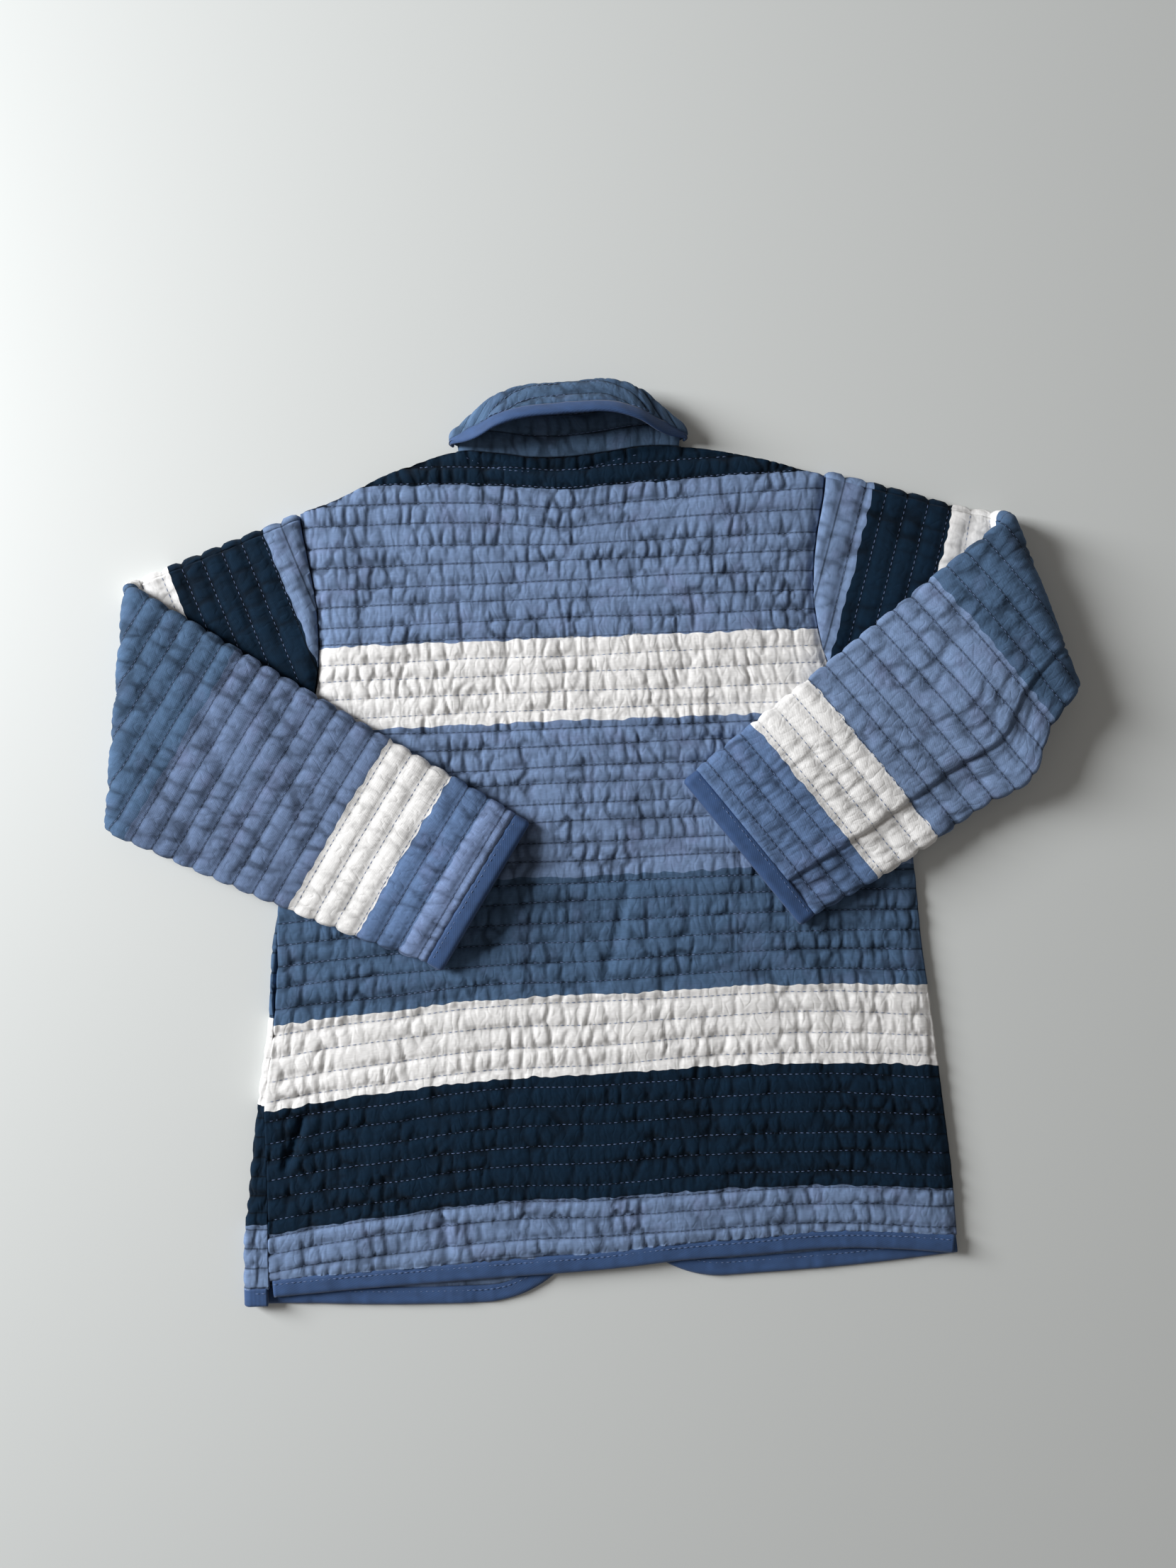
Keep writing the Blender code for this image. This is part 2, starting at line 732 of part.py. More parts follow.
def make_collar():
    """One folded strip round the neck: the stand, the roll and the fall."""
    last = len(COLLAR_STATIONS) - 1
    half = np.concatenate([np.linspace(0, 4, 7), np.linspace(4, 8, 9)[1:], np.linspace(8, last, 3)[1:]])
    stations = np.concatenate([-half[:0:-1], half])
    shares = np.linspace(0, 1, COLLAR_COLUMNS)
    outer = collar_grid(stations, shares, 1)
    inner = collar_grid(stations, shares, -1)
    return wall("collar", outer, inner, "quilted cotton, collar")


def make_collar_binding():
    """The strip folded round the free edge of the fall."""
    half = np.linspace(0, COLLAR_BOUND_TO, 11)
    rings = []
    for at in np.concatenate([-half[:0:-1], half]):
        *_, fall, _, thick = collar_station(at)
        section = folded_strip(collar_binding_width(fall), 0.8 * thick)
        places = [collar_place(at, 1.0, reach, 2 * high / thick - 0.8) for reach, high in section]
        rings.append(np.array(places))
    return strip("binding_collar", rings, "cotton twill binding")


def main():
    """Makes every piece, then moves them together onto the part's own origin."""
    for thing in list(bpy.data.objects):
        bpy.data.objects.remove(thing)
    bpy.context.scene.collection.children.link(bpy.data.collections.new("quilted_jacket"))
    pieces = [make_back(), make_front("front_left"), make_front("front_right")]
    pieces += [make_sleeve("sleeve_left"), make_sleeve("sleeve_right")]
    pieces += [make_collar(), make_collar_binding(), make_hem_binding()]
    pieces.append(make_front_binding("front_left", "binding_front_left"))
    pieces.append(make_front_binding("front_right", "binding_front_right"))
    pieces.append(make_cuff_binding("sleeve_left", "binding_cuff_left"))
    pieces.append(make_cuff_binding("sleeve_right", "binding_cuff_right"))
    points = np.array([corner.co for piece in pieces for corner in piece.data.vertices])
    lowest, highest = points.min(axis=0), points.max(axis=0)
    middle = (lowest + highest) / 2
    print("footprint middle in mm", middle[:2] / MM, "lowest", lowest[2] / MM)
    for piece in pieces:
        for corner in piece.data.vertices:
            corner.co.x -= middle[0]
            corner.co.y -= middle[1]
            corner.co.z -= lowest[2]


main()
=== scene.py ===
# %% [markdown]
# # A child's quilted patchwork jacket, laid flat
#
# The jacket lies with its back up and both sleeves folded over the back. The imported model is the
# frame: it says where each piece is. Every plain solid is replaced here by a piece of cloth with
# its quilting, puckers, patchwork and stitches. Lengths are in millimetres until a mesh is filled.

# %% The frame
import math
from functools import lru_cache

import bpy
import numpy as np
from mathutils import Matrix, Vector


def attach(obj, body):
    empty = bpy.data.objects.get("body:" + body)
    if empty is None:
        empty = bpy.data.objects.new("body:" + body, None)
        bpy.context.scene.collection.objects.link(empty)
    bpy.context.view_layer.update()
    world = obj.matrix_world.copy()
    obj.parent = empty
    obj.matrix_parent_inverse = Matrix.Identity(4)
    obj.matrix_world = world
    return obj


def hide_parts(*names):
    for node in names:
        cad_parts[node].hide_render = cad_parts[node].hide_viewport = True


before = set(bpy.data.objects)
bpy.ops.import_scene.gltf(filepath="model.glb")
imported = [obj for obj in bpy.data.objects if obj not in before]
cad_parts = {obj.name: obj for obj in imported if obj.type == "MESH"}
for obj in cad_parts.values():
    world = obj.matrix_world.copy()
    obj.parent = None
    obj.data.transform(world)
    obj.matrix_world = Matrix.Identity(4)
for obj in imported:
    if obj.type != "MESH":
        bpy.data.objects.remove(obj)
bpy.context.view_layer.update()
bpy.ops.object.select_all(action="DESELECT")
MM = 0.001
SHIFT = np.array([-4.7387, -0.1831, 0.0])  # from the centre back line to the part's origin
print("pieces in the frame:", sorted(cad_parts))

# %% [markdown]
# ## Camera
#
# The photograph was taken with a phone held over the jacket, 620 mm above the floor, which gives a
# wide view with a little perspective. The camera looks straight down and is turned by 2.3 degrees,
# because the jacket lies slightly askew in the picture.

# %% Camera
CAMERA_HEIGHT = 620.0
CAMERA_TURN = -2.3  # degrees
camera_data = bpy.data.cameras.new("camera")
camera = bpy.data.objects.new("camera", camera_data)
bpy.context.scene.collection.objects.link(camera)
camera_data.sensor_fit = "VERTICAL"
camera_data.sensor_height = 36.0
camera_data.lens = 27.13
camera_data.clip_start = 0.01
camera.location = (-0.00168, 0.03047, CAMERA_HEIGHT * MM)
camera.rotation_euler = (0.0, 0.0, math.radians(CAMERA_TURN))
bpy.context.scene.camera = camera
print("camera height in mm:", camera.location.z / MM)

# %% [markdown]
# ## Floor and light
#
# The floor is a plain pale board. One large soft lamp stands to the upper left, low enough for the
# quilting to throw small shadows to the right, and an even pale sky fills them.


# %% Colours and nodes
def linear(hex_colour):
    """An sRGB hex colour as linear red, green, blue and alpha."""
    parts = [int(hex_colour[i : i + 2], 16) / 255 for i in (1, 3, 5)]
    return (*[p / 12.92 if p < 0.04045 else ((p + 0.055) / 1.055) ** 2.4 for p in parts], 1.0)


def set_inputs(tree, node, inputs):
    """Gives a node's inputs their values, or links them to sockets."""
    for name, value in inputs.items():
        if isinstance(value, bpy.types.NodeSocket):
            tree.links.new(value, node.inputs[name])
        else:
            node.inputs[name].default_value = value


def add_node(tree, kind, inputs, **settings):
    """One node with its settings and its inputs."""
    node = tree.nodes.new(kind)
    for name, value in settings.items():
        setattr(node, name, value)
    set_inputs(tree, node, inputs)
    return node


def new_material(name):
    """A material with nodes, and its node tree."""
    made = bpy.data.materials.new(name)
    made.use_nodes = True
    return made, made.node_tree


def finish_surface(tree, **inputs):
    """Sets the material's one shader. An underscore in a name stands for a space."""
    named = {name.replace("_", " "): value for name, value in inputs.items()}
    set_inputs(tree, tree.nodes["Principled BSDF"], named)


# %% Floor
bpy.ops.mesh.primitive_plane_add(size=6.0, location=(0.0, 0.0, -0.0002))
floor = bpy.context.object
floor.name = "floor"
painted_board, board_tree = new_material("painted board, matt white")
finish_surface(board_tree, Base_Color=linear("#d6d9d8"), Roughness=0.55)
floor.data.materials.append(painted_board)
print("floor laid")

# %% Lamp and sky
key_data = bpy.data.lights.new("window", "AREA")
key_data.shape = "RECTANGLE"
key_data.size = 0.6
key_data.size_y = 0.9
key_data.energy = 50.0
key_data.color = (0.98, 0.99, 1.0)
key = bpy.data.objects.new("window", key_data)
bpy.context.scene.collection.objects.link(key)
key.location = (-1.5, 0.60, 0.86)
key.rotation_euler = (Vector((0.0, 0.0, 0.0)) - key.location).to_track_quat("-Z", "Y").to_euler()
sky = bpy.data.worlds.new("sky")
bpy.context.scene.world = sky
sky.use_nodes = True
pale_sky = {"Color": (1.0, 0.95, 0.90, 1.0), "Strength": 0.175}
set_inputs(sky.node_tree, sky.node_tree.nodes["Background"], pale_sky)
bpy.context.scene.view_settings.view_transform = "Standard"
print("window lamp at", [round(x, 2) for x in key.location])

# %% [markdown]
# ## The jacket's shape
#
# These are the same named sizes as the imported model's: where the body's sides, neck and hem run,
# how the rows of quilting sag, and how the sleeves and the collar are folded. A short table with a
# smooth curve through it is easier to read and to change than a mesh.

# %% Cloth and layers
# Cloth and quilting, in millimetres
WALL = 3.7  # two cottons and the wadding between them
ARMHOLE_GAP = 0.5
BINDING_WIDTH = 9.3
BINDING_THICK = 3.1  # the folded strip with the panel's edge pressed inside it
STRIP_TUCK = 0.4  # how far a binding reaches over the edge of its panel
LAYER = 4.0  # height of the back's underside, just clear of the fronts
THICK = LAYER + WALL  # both layers together


# %% Smooth curves
def eased(share):
    """0 to 1 with a soft start and end."""
    share = np.clip(share, 0.0, 1.0)
    return share * share * (3 - 2 * share)


def through(table, at, column=1):
    """A smooth curve through one column of a table, read at the first column's values."""
    rows = np.array(sorted(table), float)
    x, y = rows[:, 0], rows[:, column]
    slope = np.gradient(y, x)
    at = np.clip(np.asarray(at, float), x[0], x[-1])
    i = np.clip(np.searchsorted(x, at) - 1, 0, len(x) - 2)
    span = x[i + 1] - x[i]
    t = (at - x[i]) / span
    start, end = y[i], y[i + 1]
    rise = t * t * (3 - 2 * t)
    return (
        start + (end - start) * rise
        + span * slope[i] * t * (1 - t) ** 2
        - span * slope[i + 1] * t * t * (1 - t)
    )


def distances(points):
    """How far along a line each of its points lies."""
    return np.concatenate([[0.0], np.cumsum(np.linalg.norm(np.diff(points, axis=0), axis=1))])


# %% The body's tables
# The back: height above the centre, then its left and right edges
BODY_SIDES = (
    (210, -141.0, 134.0),
    (178, -141.0, 131.5),
    (155, -137.7, 126.8),
    (135, -134.8, 124.5),
    (107, -133.7, 126.0),
    (86, -136.0, 131.5),
    (66, -140.5, 141.5),
    (47, -146.0, 156.0),
    (20, -152.0, 166.5),
    (-20, -159.5, 171.0),
    (-60, -162.0, 173.5),
    (-93, -165.0, 177.0),
    (-134, -170.5, 180.5),
    (-175, -171.6, 184.0),
    (-235, -172.0, 186.5),
)
ARMPIT = 47.0
# Across, then the height of the back's top edge: shoulder, neck, shoulder
BACK_TOP = (
    (-142, 176.5),
    (-119, 184.5),
    (-98, 194.0),
    (-77, 201.0),
    (-58, 205.5),
    (-38, 203.7),
    (-19, 200.8),
    (0, 200.3),
    (19, 202.0),
    (38, 204.3),
    (58, 203.8),
    (80, 200.2),
    (103, 195.0),
    (121, 189.5),
    (135, 185.5),
)
NECK_HALF = 58.0
# Across, then the height of the back's lower edge inside its binding
BACK_HEM = (
    (-173, -220.5),
    (-138, -218.5),
    (-89, -216.3),
    (-52, -214.8),
    (4, -212.7),
    (41, -209.8),
    (78, -208.3),
    (120, -206.5),
    (157, -208.5),
    (187, -211.8),
)
# Across, then how far the quilting sags there at the level of the navy band
ROW_SAG = (
    (-172, -13.0),
    (-137, -8.0),
    (-100, -4.5),
    (-70, -1.5),
    (-39, 0.0),
    (0, 0.0),
    (45, 1.3),
    (85, 2.0),
    (130, 1.0),
    (186, -3.5),
)
SAG_STARTS = 60.0
SAG_FULL = -130.0
# Across, then how much higher the rows run there close to the neck
TOP_BOW = (
    (-141, 7.0),
    (-113, 6.2),
    (-80, 5.5),
    (-38, 3.5),
    (0, 0.0),
    (18, 1.2),
    (64, 3.2),
    (121, 5.2),
    (135, 5.6),
)
BOW_STARTS = 135.0
BOW_FULL = 183.0
# The fronts: where each front edge stands, the hem and the rounded corner between them
FRONT_EDGE = {"front_left": -11.0, "front_right": 13.0}
FRONT_NECK_DROP = 34.0
CORNER = 52.0
# Across, then the height of each front's lower edge inside its binding
FRONT_HEM = {
    "front_left": ((-190, -224.5), (-150, -226.0), (-118, -227.8), (-85, -228.8), (-14, -229.0)),
    "front_right": ((16, -220.5), (53, -220.2), (78, -219.4), (127, -217.4), (188, -212.5)),
}
# Height, the left front's fold line round the side, and how much cloth comes back over the fold
SIDE_WRAP = (
    (-235, -182.8, 16.3),
    (-203, -182.2, 15.9),
    (-173, -178.4, 13.0),
    (-148, -175.0, 9.6),
    (-130, -172.0, 7.0),
    (-112, -169.3, 6.8),
    (-93, -165.6, 6.4),
    (-60, -162.2, 4.0),
    (-23, -159.8, 0.2),
    (47, -146.0, 0.0),
)
FOLD_AXIS = (WALL + LAYER) / 2  # height of the line that the front rolls round
FOLD_MIDDLE = FOLD_AXIS - WALL / 2
print("body table rows:", len(BODY_SIDES))

# %% The sleeves' tables
# The sleeves, laid out flat before they are folded. Heading and crease are angles from +X in
# degrees, and side is +1 where the crease lies to the left of the body. The underarm seam runs
# at seam_at round the sleeve, and the strip beyond it lies lower by seam_drop. Each fold has its
# start and end along and round the sleeve, its half width and its depth
SLEEVES = {
    "sleeve_left": {
        "side": 1,
        "start": (-141.2, 177.6),
        "heading": 200.0,
        "bend": 0.0,
        "crease_at": (-231.5, 79.0),
        "crease": 83.5,
        "crease_from": 15,
        "crease_to": 30,
        "axis_height": 8.4,
        "length": 330.0,
        "rest": 8.5,
        "drop_over": 40.0,
        "seam_at": 102.0,
        "seam_drop": 0.0,
        "grid_rows": 147,
        "seed": 80,
        "gathered": 0.5,
        "pillow": 0.75,
        "folds": (((150, 190), (200, 150), 5.0, 1.2), ((190, 195), (235, 165), 4.5, 1.0)),
    },
    "sleeve_right": {
        "side": -1,
        "start": (132.6, 188.5),
        "heading": -16.5,
        "bend": 17.5,
        "crease_at": (227.5, 118.0),
        "crease": 109.0,
        "crease_from": 13,
        "crease_to": 30,
        "axis_height": 13.0,
        "length": 309.0,
        "rest": 8.5,
        "drop_over": 70.0,
        "seam_at": 130.5,
        "seam_drop": 2.0,
        "grid_rows": 138,
        "seed": 110,
        "gathered": 0.72,
        "pillow": 0.5,
        "folds": (((150, 190), (205, 165), 5.0, 1.2), ((200, 150), (240, 175), 4.5, 0.9)),
    },
}
SWELLS_OVER = 60.0  # past the crease, the front wall swells up over this distance
BEND_FROM = 65.0
BEND_OVER = 50.0
# Along the sleeve, its width, and how far each wall bulges: the back wall, then the front wall
SLEEVE_SECTIONS = {
    "sleeve_left": (
        (0, 119, 0, 0),
        (60, 119, 0, 0),
        (110, 118, 0, 0),
        (165, 114, 0, 1.5),
        (230, 106, 0, 2.0),
        (290, 97, 0, 4.5),
        (330, 90, 0, 8.0),
    ),
    "sleeve_right": (
        (0, 119, 0, 0),
        (50, 113, 1.5, 0),
        (90, 99, 3.0, 0),
        (131, 92, 2.0, 2.0),
        (157, 98, 1.0, 3.5),
        (180, 112, 0, 5.0),
        (205, 109, 0, 4.5),
        (255, 105, 0, 4.0),
        (309, 97, 0, 3.0),
    ),
}
SLEEVE_PITCH = 11.2
print("sleeve lengths in mm:", [cut["length"] for cut in SLEEVES.values()])

# %% The collar's table
# The collar, from the centre back to a front end. Across and level of the neck seam, the way the
# roll faces in degrees, the stand, the roll's radius, the fall, its slope in degrees and the
# cloth's thickness
COLLAR_STATIONS = (
    (0.0, 7.2, 90, 29.0, 6.0, 22.5, 38, 3.0),
    (20.0, 7.2, 90, 27.5, 6.0, 22.5, 37, 3.0),
    (36.0, 7.2, 90, 21.5, 5.6, 20.5, 33, 3.0),
    (47.0, 7.2, 90, 13.5, 4.6, 14.5, 24, 2.8),
    (53.5, 6.9, 75, 8.5, 3.2, 8.0, 12, 2.4),
    (56.5, 5.8, 40, 7.0, 2.4, 5.0, 4, 2.0),
    (57.2, 4.6, 0, 6.5, 1.7, 4.0, 0, 1.8),
    (56.0, 3.4, -55, 7.0, 1.1, 4.5, 0, 1.6),
    (52.0, 2.9, -90, 9.0, 1.0, 7.0, 0, 1.6),
    (36.0, 2.9, -90, 12.0, 1.0, 10.0, 0, 1.6),
    (17.0, 2.9, -90, 12.0, 1.0, 10.0, 0, 1.6),
)
COLLAR_TURNS = (5.0, 7.5)  # between these stations the neck seam passes from back to front
COLLAR_BOUND_TO = 6.2  # the last station, counted from the centre back, that the binding reaches
COLLAR_BINDING_WIDTH = 6.8
COLLAR_BINDING_SHARE = 0.55  # the most of a narrow fall that the binding takes
COLLAR_PITCH = 10.5
NECK_GAP = 0.9
print("collar stations:", len(COLLAR_STATIONS))

# %% [markdown]
# ## Quilting, puckers and folds
#
# Two washed cottons with wadding between them are sewn through in rows. The wadding swells between
# the rows, the stitches pull the cloth down and gather it, and washing shrinks the thread and the
# wadding, so short sharp puckers cross the rows. A simulation would need a mesh far finer than a
# yarn to find these by itself. Here each is a small height worked out from smooth random values,
# and the large folds are placed from the photograph.


# %% Smooth random values
@lru_cache(maxsize=None)
def random_table(seed):
    """A fixed table of random values from 0 to 1."""
    return np.random.default_rng(seed).random((128, 128))


def patchy(x, y, seed):
    """Smooth random values from 0 to 1, about one blob for each unit of x and y."""
    table = random_table(seed)
    column, row = np.floor(x).astype(int), np.floor(y).astype(int)
    right, up = x - column, y - row
    right, up = right * right * (3 - 2 * right), up * up * (3 - 2 * up)
    low = table[column % 128, row % 128] * (1 - right) + table[(column + 1) % 128, row % 128] * right
    high = table[column % 128, (row + 1) % 128] * (1 - right)
    high = high + table[(column + 1) % 128, (row + 1) % 128] * right
    return low * (1 - up) + high * up


def creased(values, sharpness):
    """1 along the lines where smooth random values pass a half, falling off beside them."""
    return (1 - np.abs(2 * values - 1)) ** sharpness


def dip(off, depth, half_width):
    """Depth of a soft groove at a distance from its middle."""
    return depth * np.exp(-((off / half_width) ** 2))


# %% The quilting's relief
PILLOW = 0.34  # depth of a row's edge below its crest
GROOVE = 0.34  # how much deeper the stitches themselves pull the cloth
GROOVE_HALF = 0.9
PUCKER = 1.25
PUCKER_PITCH = 7.4


def bubbles(across, row, pitch, seed):
    """1 in the sharp creases between small bubbles of cloth, one row high, and 0 inside them."""
    x, y = np.broadcast_arrays(across / pitch, row)
    column, line = np.floor(x).astype(int), np.floor(y).astype(int)
    nearest = second = np.full(x.shape, 9.0)
    for i in (-1, 0, 1):
        for j in (-1, 0, 1):
            here = (column + i) % 128, (line + j) % 128
            away = np.hypot(
                column + i + 0.1 + 0.8 * random_table(seed)[here] - x,
                line + j + 0.28 + 0.44 * random_table(seed + 1)[here] - y,
            )
            second = np.minimum(second, np.maximum(nearest, away))
            nearest = np.minimum(nearest, away)
    return np.clip(1 - (second - nearest) / 0.46, 0, 1) ** 1.6


def crumple(across, row, seed, pitch=PUCKER_PITCH):
    """Depth of the creases that the shrunken thread and wadding draw into the cloth."""
    bent = across + 3.0 * (patchy(across / 8, row * 1.4, seed + 5) - 0.5)
    uneven = np.clip(2.1 * patchy(across / 10, row * 0.9, seed + 2) - 0.25, 0.1, 1.6)
    fine = bubbles(bent + 31, row * 1.5 + 7, 0.55 * pitch, seed + 4)
    drift = patchy(across / 27, row * 0.9, seed + 7)
    long = creased(patchy(across / 11 + drift, row * 0.5 + 5, seed + 8), 7.0)
    return PUCKER * bubbles(bent, row, pitch, seed) * uneven + 0.35 * fine + 0.8 * long


def relief(across, row, seed, pitch, gathered=1.0, bubble=PUCKER_PITCH, pillow=PILLOW):
    """Depth of the cloth below the crests, at a distance across and a place counted in rows."""
    near = np.abs(row % 1.0 - 0.5) * 2
    to_line = (1 - near) * pitch / 2
    depth = pillow * near ** 3 + dip(to_line, GROOVE, GROOVE_HALF)
    depth = depth + gathered * crumple(across, row, seed, bubble) * (0.6 + 0.4 * near)
    return depth - 1.5 * (patchy(across / 40, row / 6, seed + 9) - 0.5) - 0.5


def wander(across, row, seed):
    """How far a hand-guided line of stitches strays from its own line, in millimetres."""
    return 1.6 * (patchy(across / 55, row * 3.7, seed + 11) - 0.5)


def trough(x, y, start, end, half_width, depth):
    """Depth of a soft fold along a straight line, fading at its ends."""
    start, run = np.array(start, float), np.array(end, float) - np.array(start, float)
    length = math.hypot(*run)
    along = ((x - start[0]) * run[0] + (y - start[1]) * run[1]) / length
    off = ((x - start[0]) * run[1] - (y - start[1]) * run[0]) / length
    fade = eased(along / (0.3 * length) + 0.3) * eased((length - along) / (0.3 * length) + 0.3)
    return dip(off, depth, half_width) * fade


# %% [markdown]
# ## Making a piece of cloth
#
# A piece starts as a flat grid, as cloth starts flat on the cutting table. Its points are then
# moved to where the cloth lies, and each corner of a face remembers where it was on the cut, so
# that the bands and the weave follow the cloth through its folds. Points that a curved edge brings
# together are merged, and Solidify or an extruded rim gives the wall its thickness.


# %% A piece of cloth
def cloth(name, columns, rows, shape):
    """A grid of cloth. The shape turns shares across and along into places, cut and depth."""
    bpy.ops.object.select_all(action="DESELECT")
    bpy.ops.mesh.primitive_grid_add(x_subdivisions=columns, y_subdivisions=rows, size=1.0)
    piece = bpy.context.object
    piece.name = piece.data.name = name
    flat = np.zeros(len(piece.data.vertices) * 3)
    piece.data.vertices.foreach_get("co", flat)
    column = np.rint((flat[0::3] + 0.5) * columns).astype(int)
    row = np.rint((flat[1::3] + 0.5) * rows).astype(int)
    across, along = np.meshgrid(np.linspace(0, 1, columns + 1), np.linspace(0, 1, rows + 1))
    places, cut, sunk = shape(across, along)
    piece.data.vertices.foreach_set("co", ((places[row, column] + SHIFT) * MM).ravel())
    corners = np.zeros(len(piece.data.loops), int)
    piece.data.loops.foreach_get("vertex_index", corners)
    on_cut = piece.data.attributes.new("cut", "FLOAT_VECTOR", "CORNER")
    on_cut.data.foreach_set("vector", cut[row, column][corners].astype(np.float32).ravel())
    depth = piece.data.attributes.new("sunk", "FLOAT", "CORNER")
    depth.data.foreach_set("value", (sunk + 0 * across)[row, column][corners].astype(np.float32))
    bpy.ops.object.mode_set(mode="EDIT")
    bpy.ops.mesh.select_all(action="SELECT")
    bpy.ops.mesh.remove_doubles(threshold=0.00002)
    bpy.ops.object.mode_set(mode="OBJECT")
    piece.data.shade_smooth()
    return piece


def face_up(piece, wanted=1):
    """Turns the faces over if most of them don't look the wanted way, 1 for up."""
    area = np.zeros(len(piece.data.polygons))
    normal = np.zeros(len(piece.data.polygons) * 3)
    piece.data.polygons.foreach_get("area", area)
    piece.data.polygons.foreach_get("normal", normal)
    if (normal[2::3] * area).sum() * wanted < 0:
        piece.data.flip_normals()


def pick(piece):
    """Makes a piece the only selected object, and the active one."""
    bpy.ops.object.select_all(action="DESELECT")
    bpy.context.view_layer.objects.active = piece
    piece.select_set(True)


def face_outwards(piece, fill=False):
    """Turns a closed piece's faces outwards, once its open ends are filled."""
    pick(piece)
    bpy.ops.object.mode_set(mode="EDIT")
    bpy.ops.mesh.select_all(action="SELECT")
    if fill:
        bpy.ops.mesh.fill_holes(sides=0)
        bpy.ops.mesh.select_all(action="SELECT")
    bpy.ops.mesh.normals_make_consistent(inside=False)
    bpy.ops.object.mode_set(mode="OBJECT")


def thicken(piece, thickness, lowest=None):
    """Gives cloth its wall, inwards from the face that shows, and keeps it above a level."""
    pick(piece)
    wall = piece.modifiers.new("wall", "SOLIDIFY")
    wall.thickness = thickness * MM
    wall.offset = -1.0
    wall.use_even_offset = False
    bpy.ops.object.modifier_apply(modifier=wall.name)
    if lowest is not None:
        for corner in piece.data.vertices:
            corner.co.z = max(corner.co.z, lowest * MM)


def triangles(piece):
    """How many triangles a piece has."""
    return sum(len(face.vertices) - 2 for face in piece.data.polygons)


def place_on_body(piece, material, *nodes):
    """Dresses a finished piece, lets it ride on the body and stand for its solids."""
    piece.data.materials.clear()
    piece.data.materials.append(material)
    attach(piece, "root")
    if nodes:
        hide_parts(*nodes)
    print(piece.name, triangles(piece), "triangles")


# %% [markdown]
# ## The back's rows of quilting
#
# The heights of the lines of stitches were read from the photograph down the middle of the back.
# They are about 10 mm apart and don't follow the seams of the patchwork: the panel was pieced
# first and quilted after. The lines sag towards the sides, because the jacket lies a little
# twisted.

# %% Lines of quilting
QUILT_LINES = np.array([
    233.0, 223.0, 213.0, 203.5, 193.6, 184.4, 174.8, 164.9, 155.3, 146.9, 137.0, 127.4, 117.1,
    107.9, 98.0, 88.8, 78.8, 70.0, 60.1, 50.9, 39.9, 31.8, 20.7, 11.5, 0.5, -8.7, -20.1, -30.0,
    -40.7, -50.6, -60.9, -71.2, -83.0, -93.6, -105.0, -115.0, -125.6, -135.9, -145.5, -156.2,
    -166.1, -176.4, -184.9, -193.7, -203.6, -213.5, -223.5, -233.5, -243.0,
])
LINE_NUMBERS = np.arange(len(QUILT_LINES))
print("lines across the back:", len(QUILT_LINES))


def line_height(row):
    """Height of a line of quilting, or of a place between two."""
    return np.interp(row, LINE_NUMBERS, QUILT_LINES)


def line_at(height):
    """The place in rows of a height."""
    return np.interp(-height, -QUILT_LINES, LINE_NUMBERS)


# %% Where the back lies
def sag(x, height):
    """How far a line of quilting sags towards the hem's sides, or rises towards the shoulders."""
    low = through(ROW_SAG, x) * eased((SAG_STARTS - height) / (SAG_STARTS - SAG_FULL))
    high = through(TOP_BOW, x) * eased((height - BOW_STARTS) / (BOW_FULL - BOW_STARTS))
    return low + high


def quilting_height(x, y):
    """The height that a place on the back had before its rows sagged."""
    height = y
    for _ in range(4):
        height = y - sag(x, height)
    return height


def back_left(y):
    """The back's left edge: its armhole, then where the left front comes round to meet it."""
    beyond = np.clip(through(SIDE_WRAP, y, 2) - np.pi * FOLD_MIDDLE, 0, None)
    side = through(SIDE_WRAP, y, 1) + beyond + 0.25
    return np.where(y < ARMPIT, side, through(BODY_SIDES, y, 1))


def back_outline(x):
    """The back's lowest and highest points at each place across it."""
    return through(BACK_HEM, x), through(BACK_TOP, x)


# Creases and troughs seen on the back: start, end, half width, depth
BACK_FOLDS = (
    ((24, -16), (6, -79), 3.2, 1.5),
    ((-1, -69), (3, -80), 2.6, 1.2),
    ((-150, -133), (-163, -164), 2.2, 3.3),
    ((-145, -134), (-157, -166), 4.0, -1.1),
    ((-81.5, -184), (-78.5, -216), 3.0, 1.7),
    ((-30, 150), (-36, 92), 5.0, 0.9),
    ((62, 120), (50, 60), 5.5, 0.8),
    ((-70, 40), (-60, -30), 6.0, 0.8),
    ((70, -90), (60, -160), 6.0, 0.9),
    ((-95, -100), (-85, -190), 6.5, 0.9),
    ((130, -60), (122, -150), 6.0, 0.8),
)
# Across, then the height of the line of stitches below the neck seam
NECK_LINE = (
    (-56, 203.5),
    (-44, 198.0),
    (-30, 194.8),
    (-12, 193.9),
    (5, 194.3),
    (28, 199.0),
    (50, 203.5),
)
NECK_LINE_MIDDLE = -3.0
NECK_LINE_HALF = 54.0
BACK_SEED = 40
BACK_PITCH = 10.0
DEEPEST = 3.4  # how far down the back's folds and rounded seams may reach into its wall


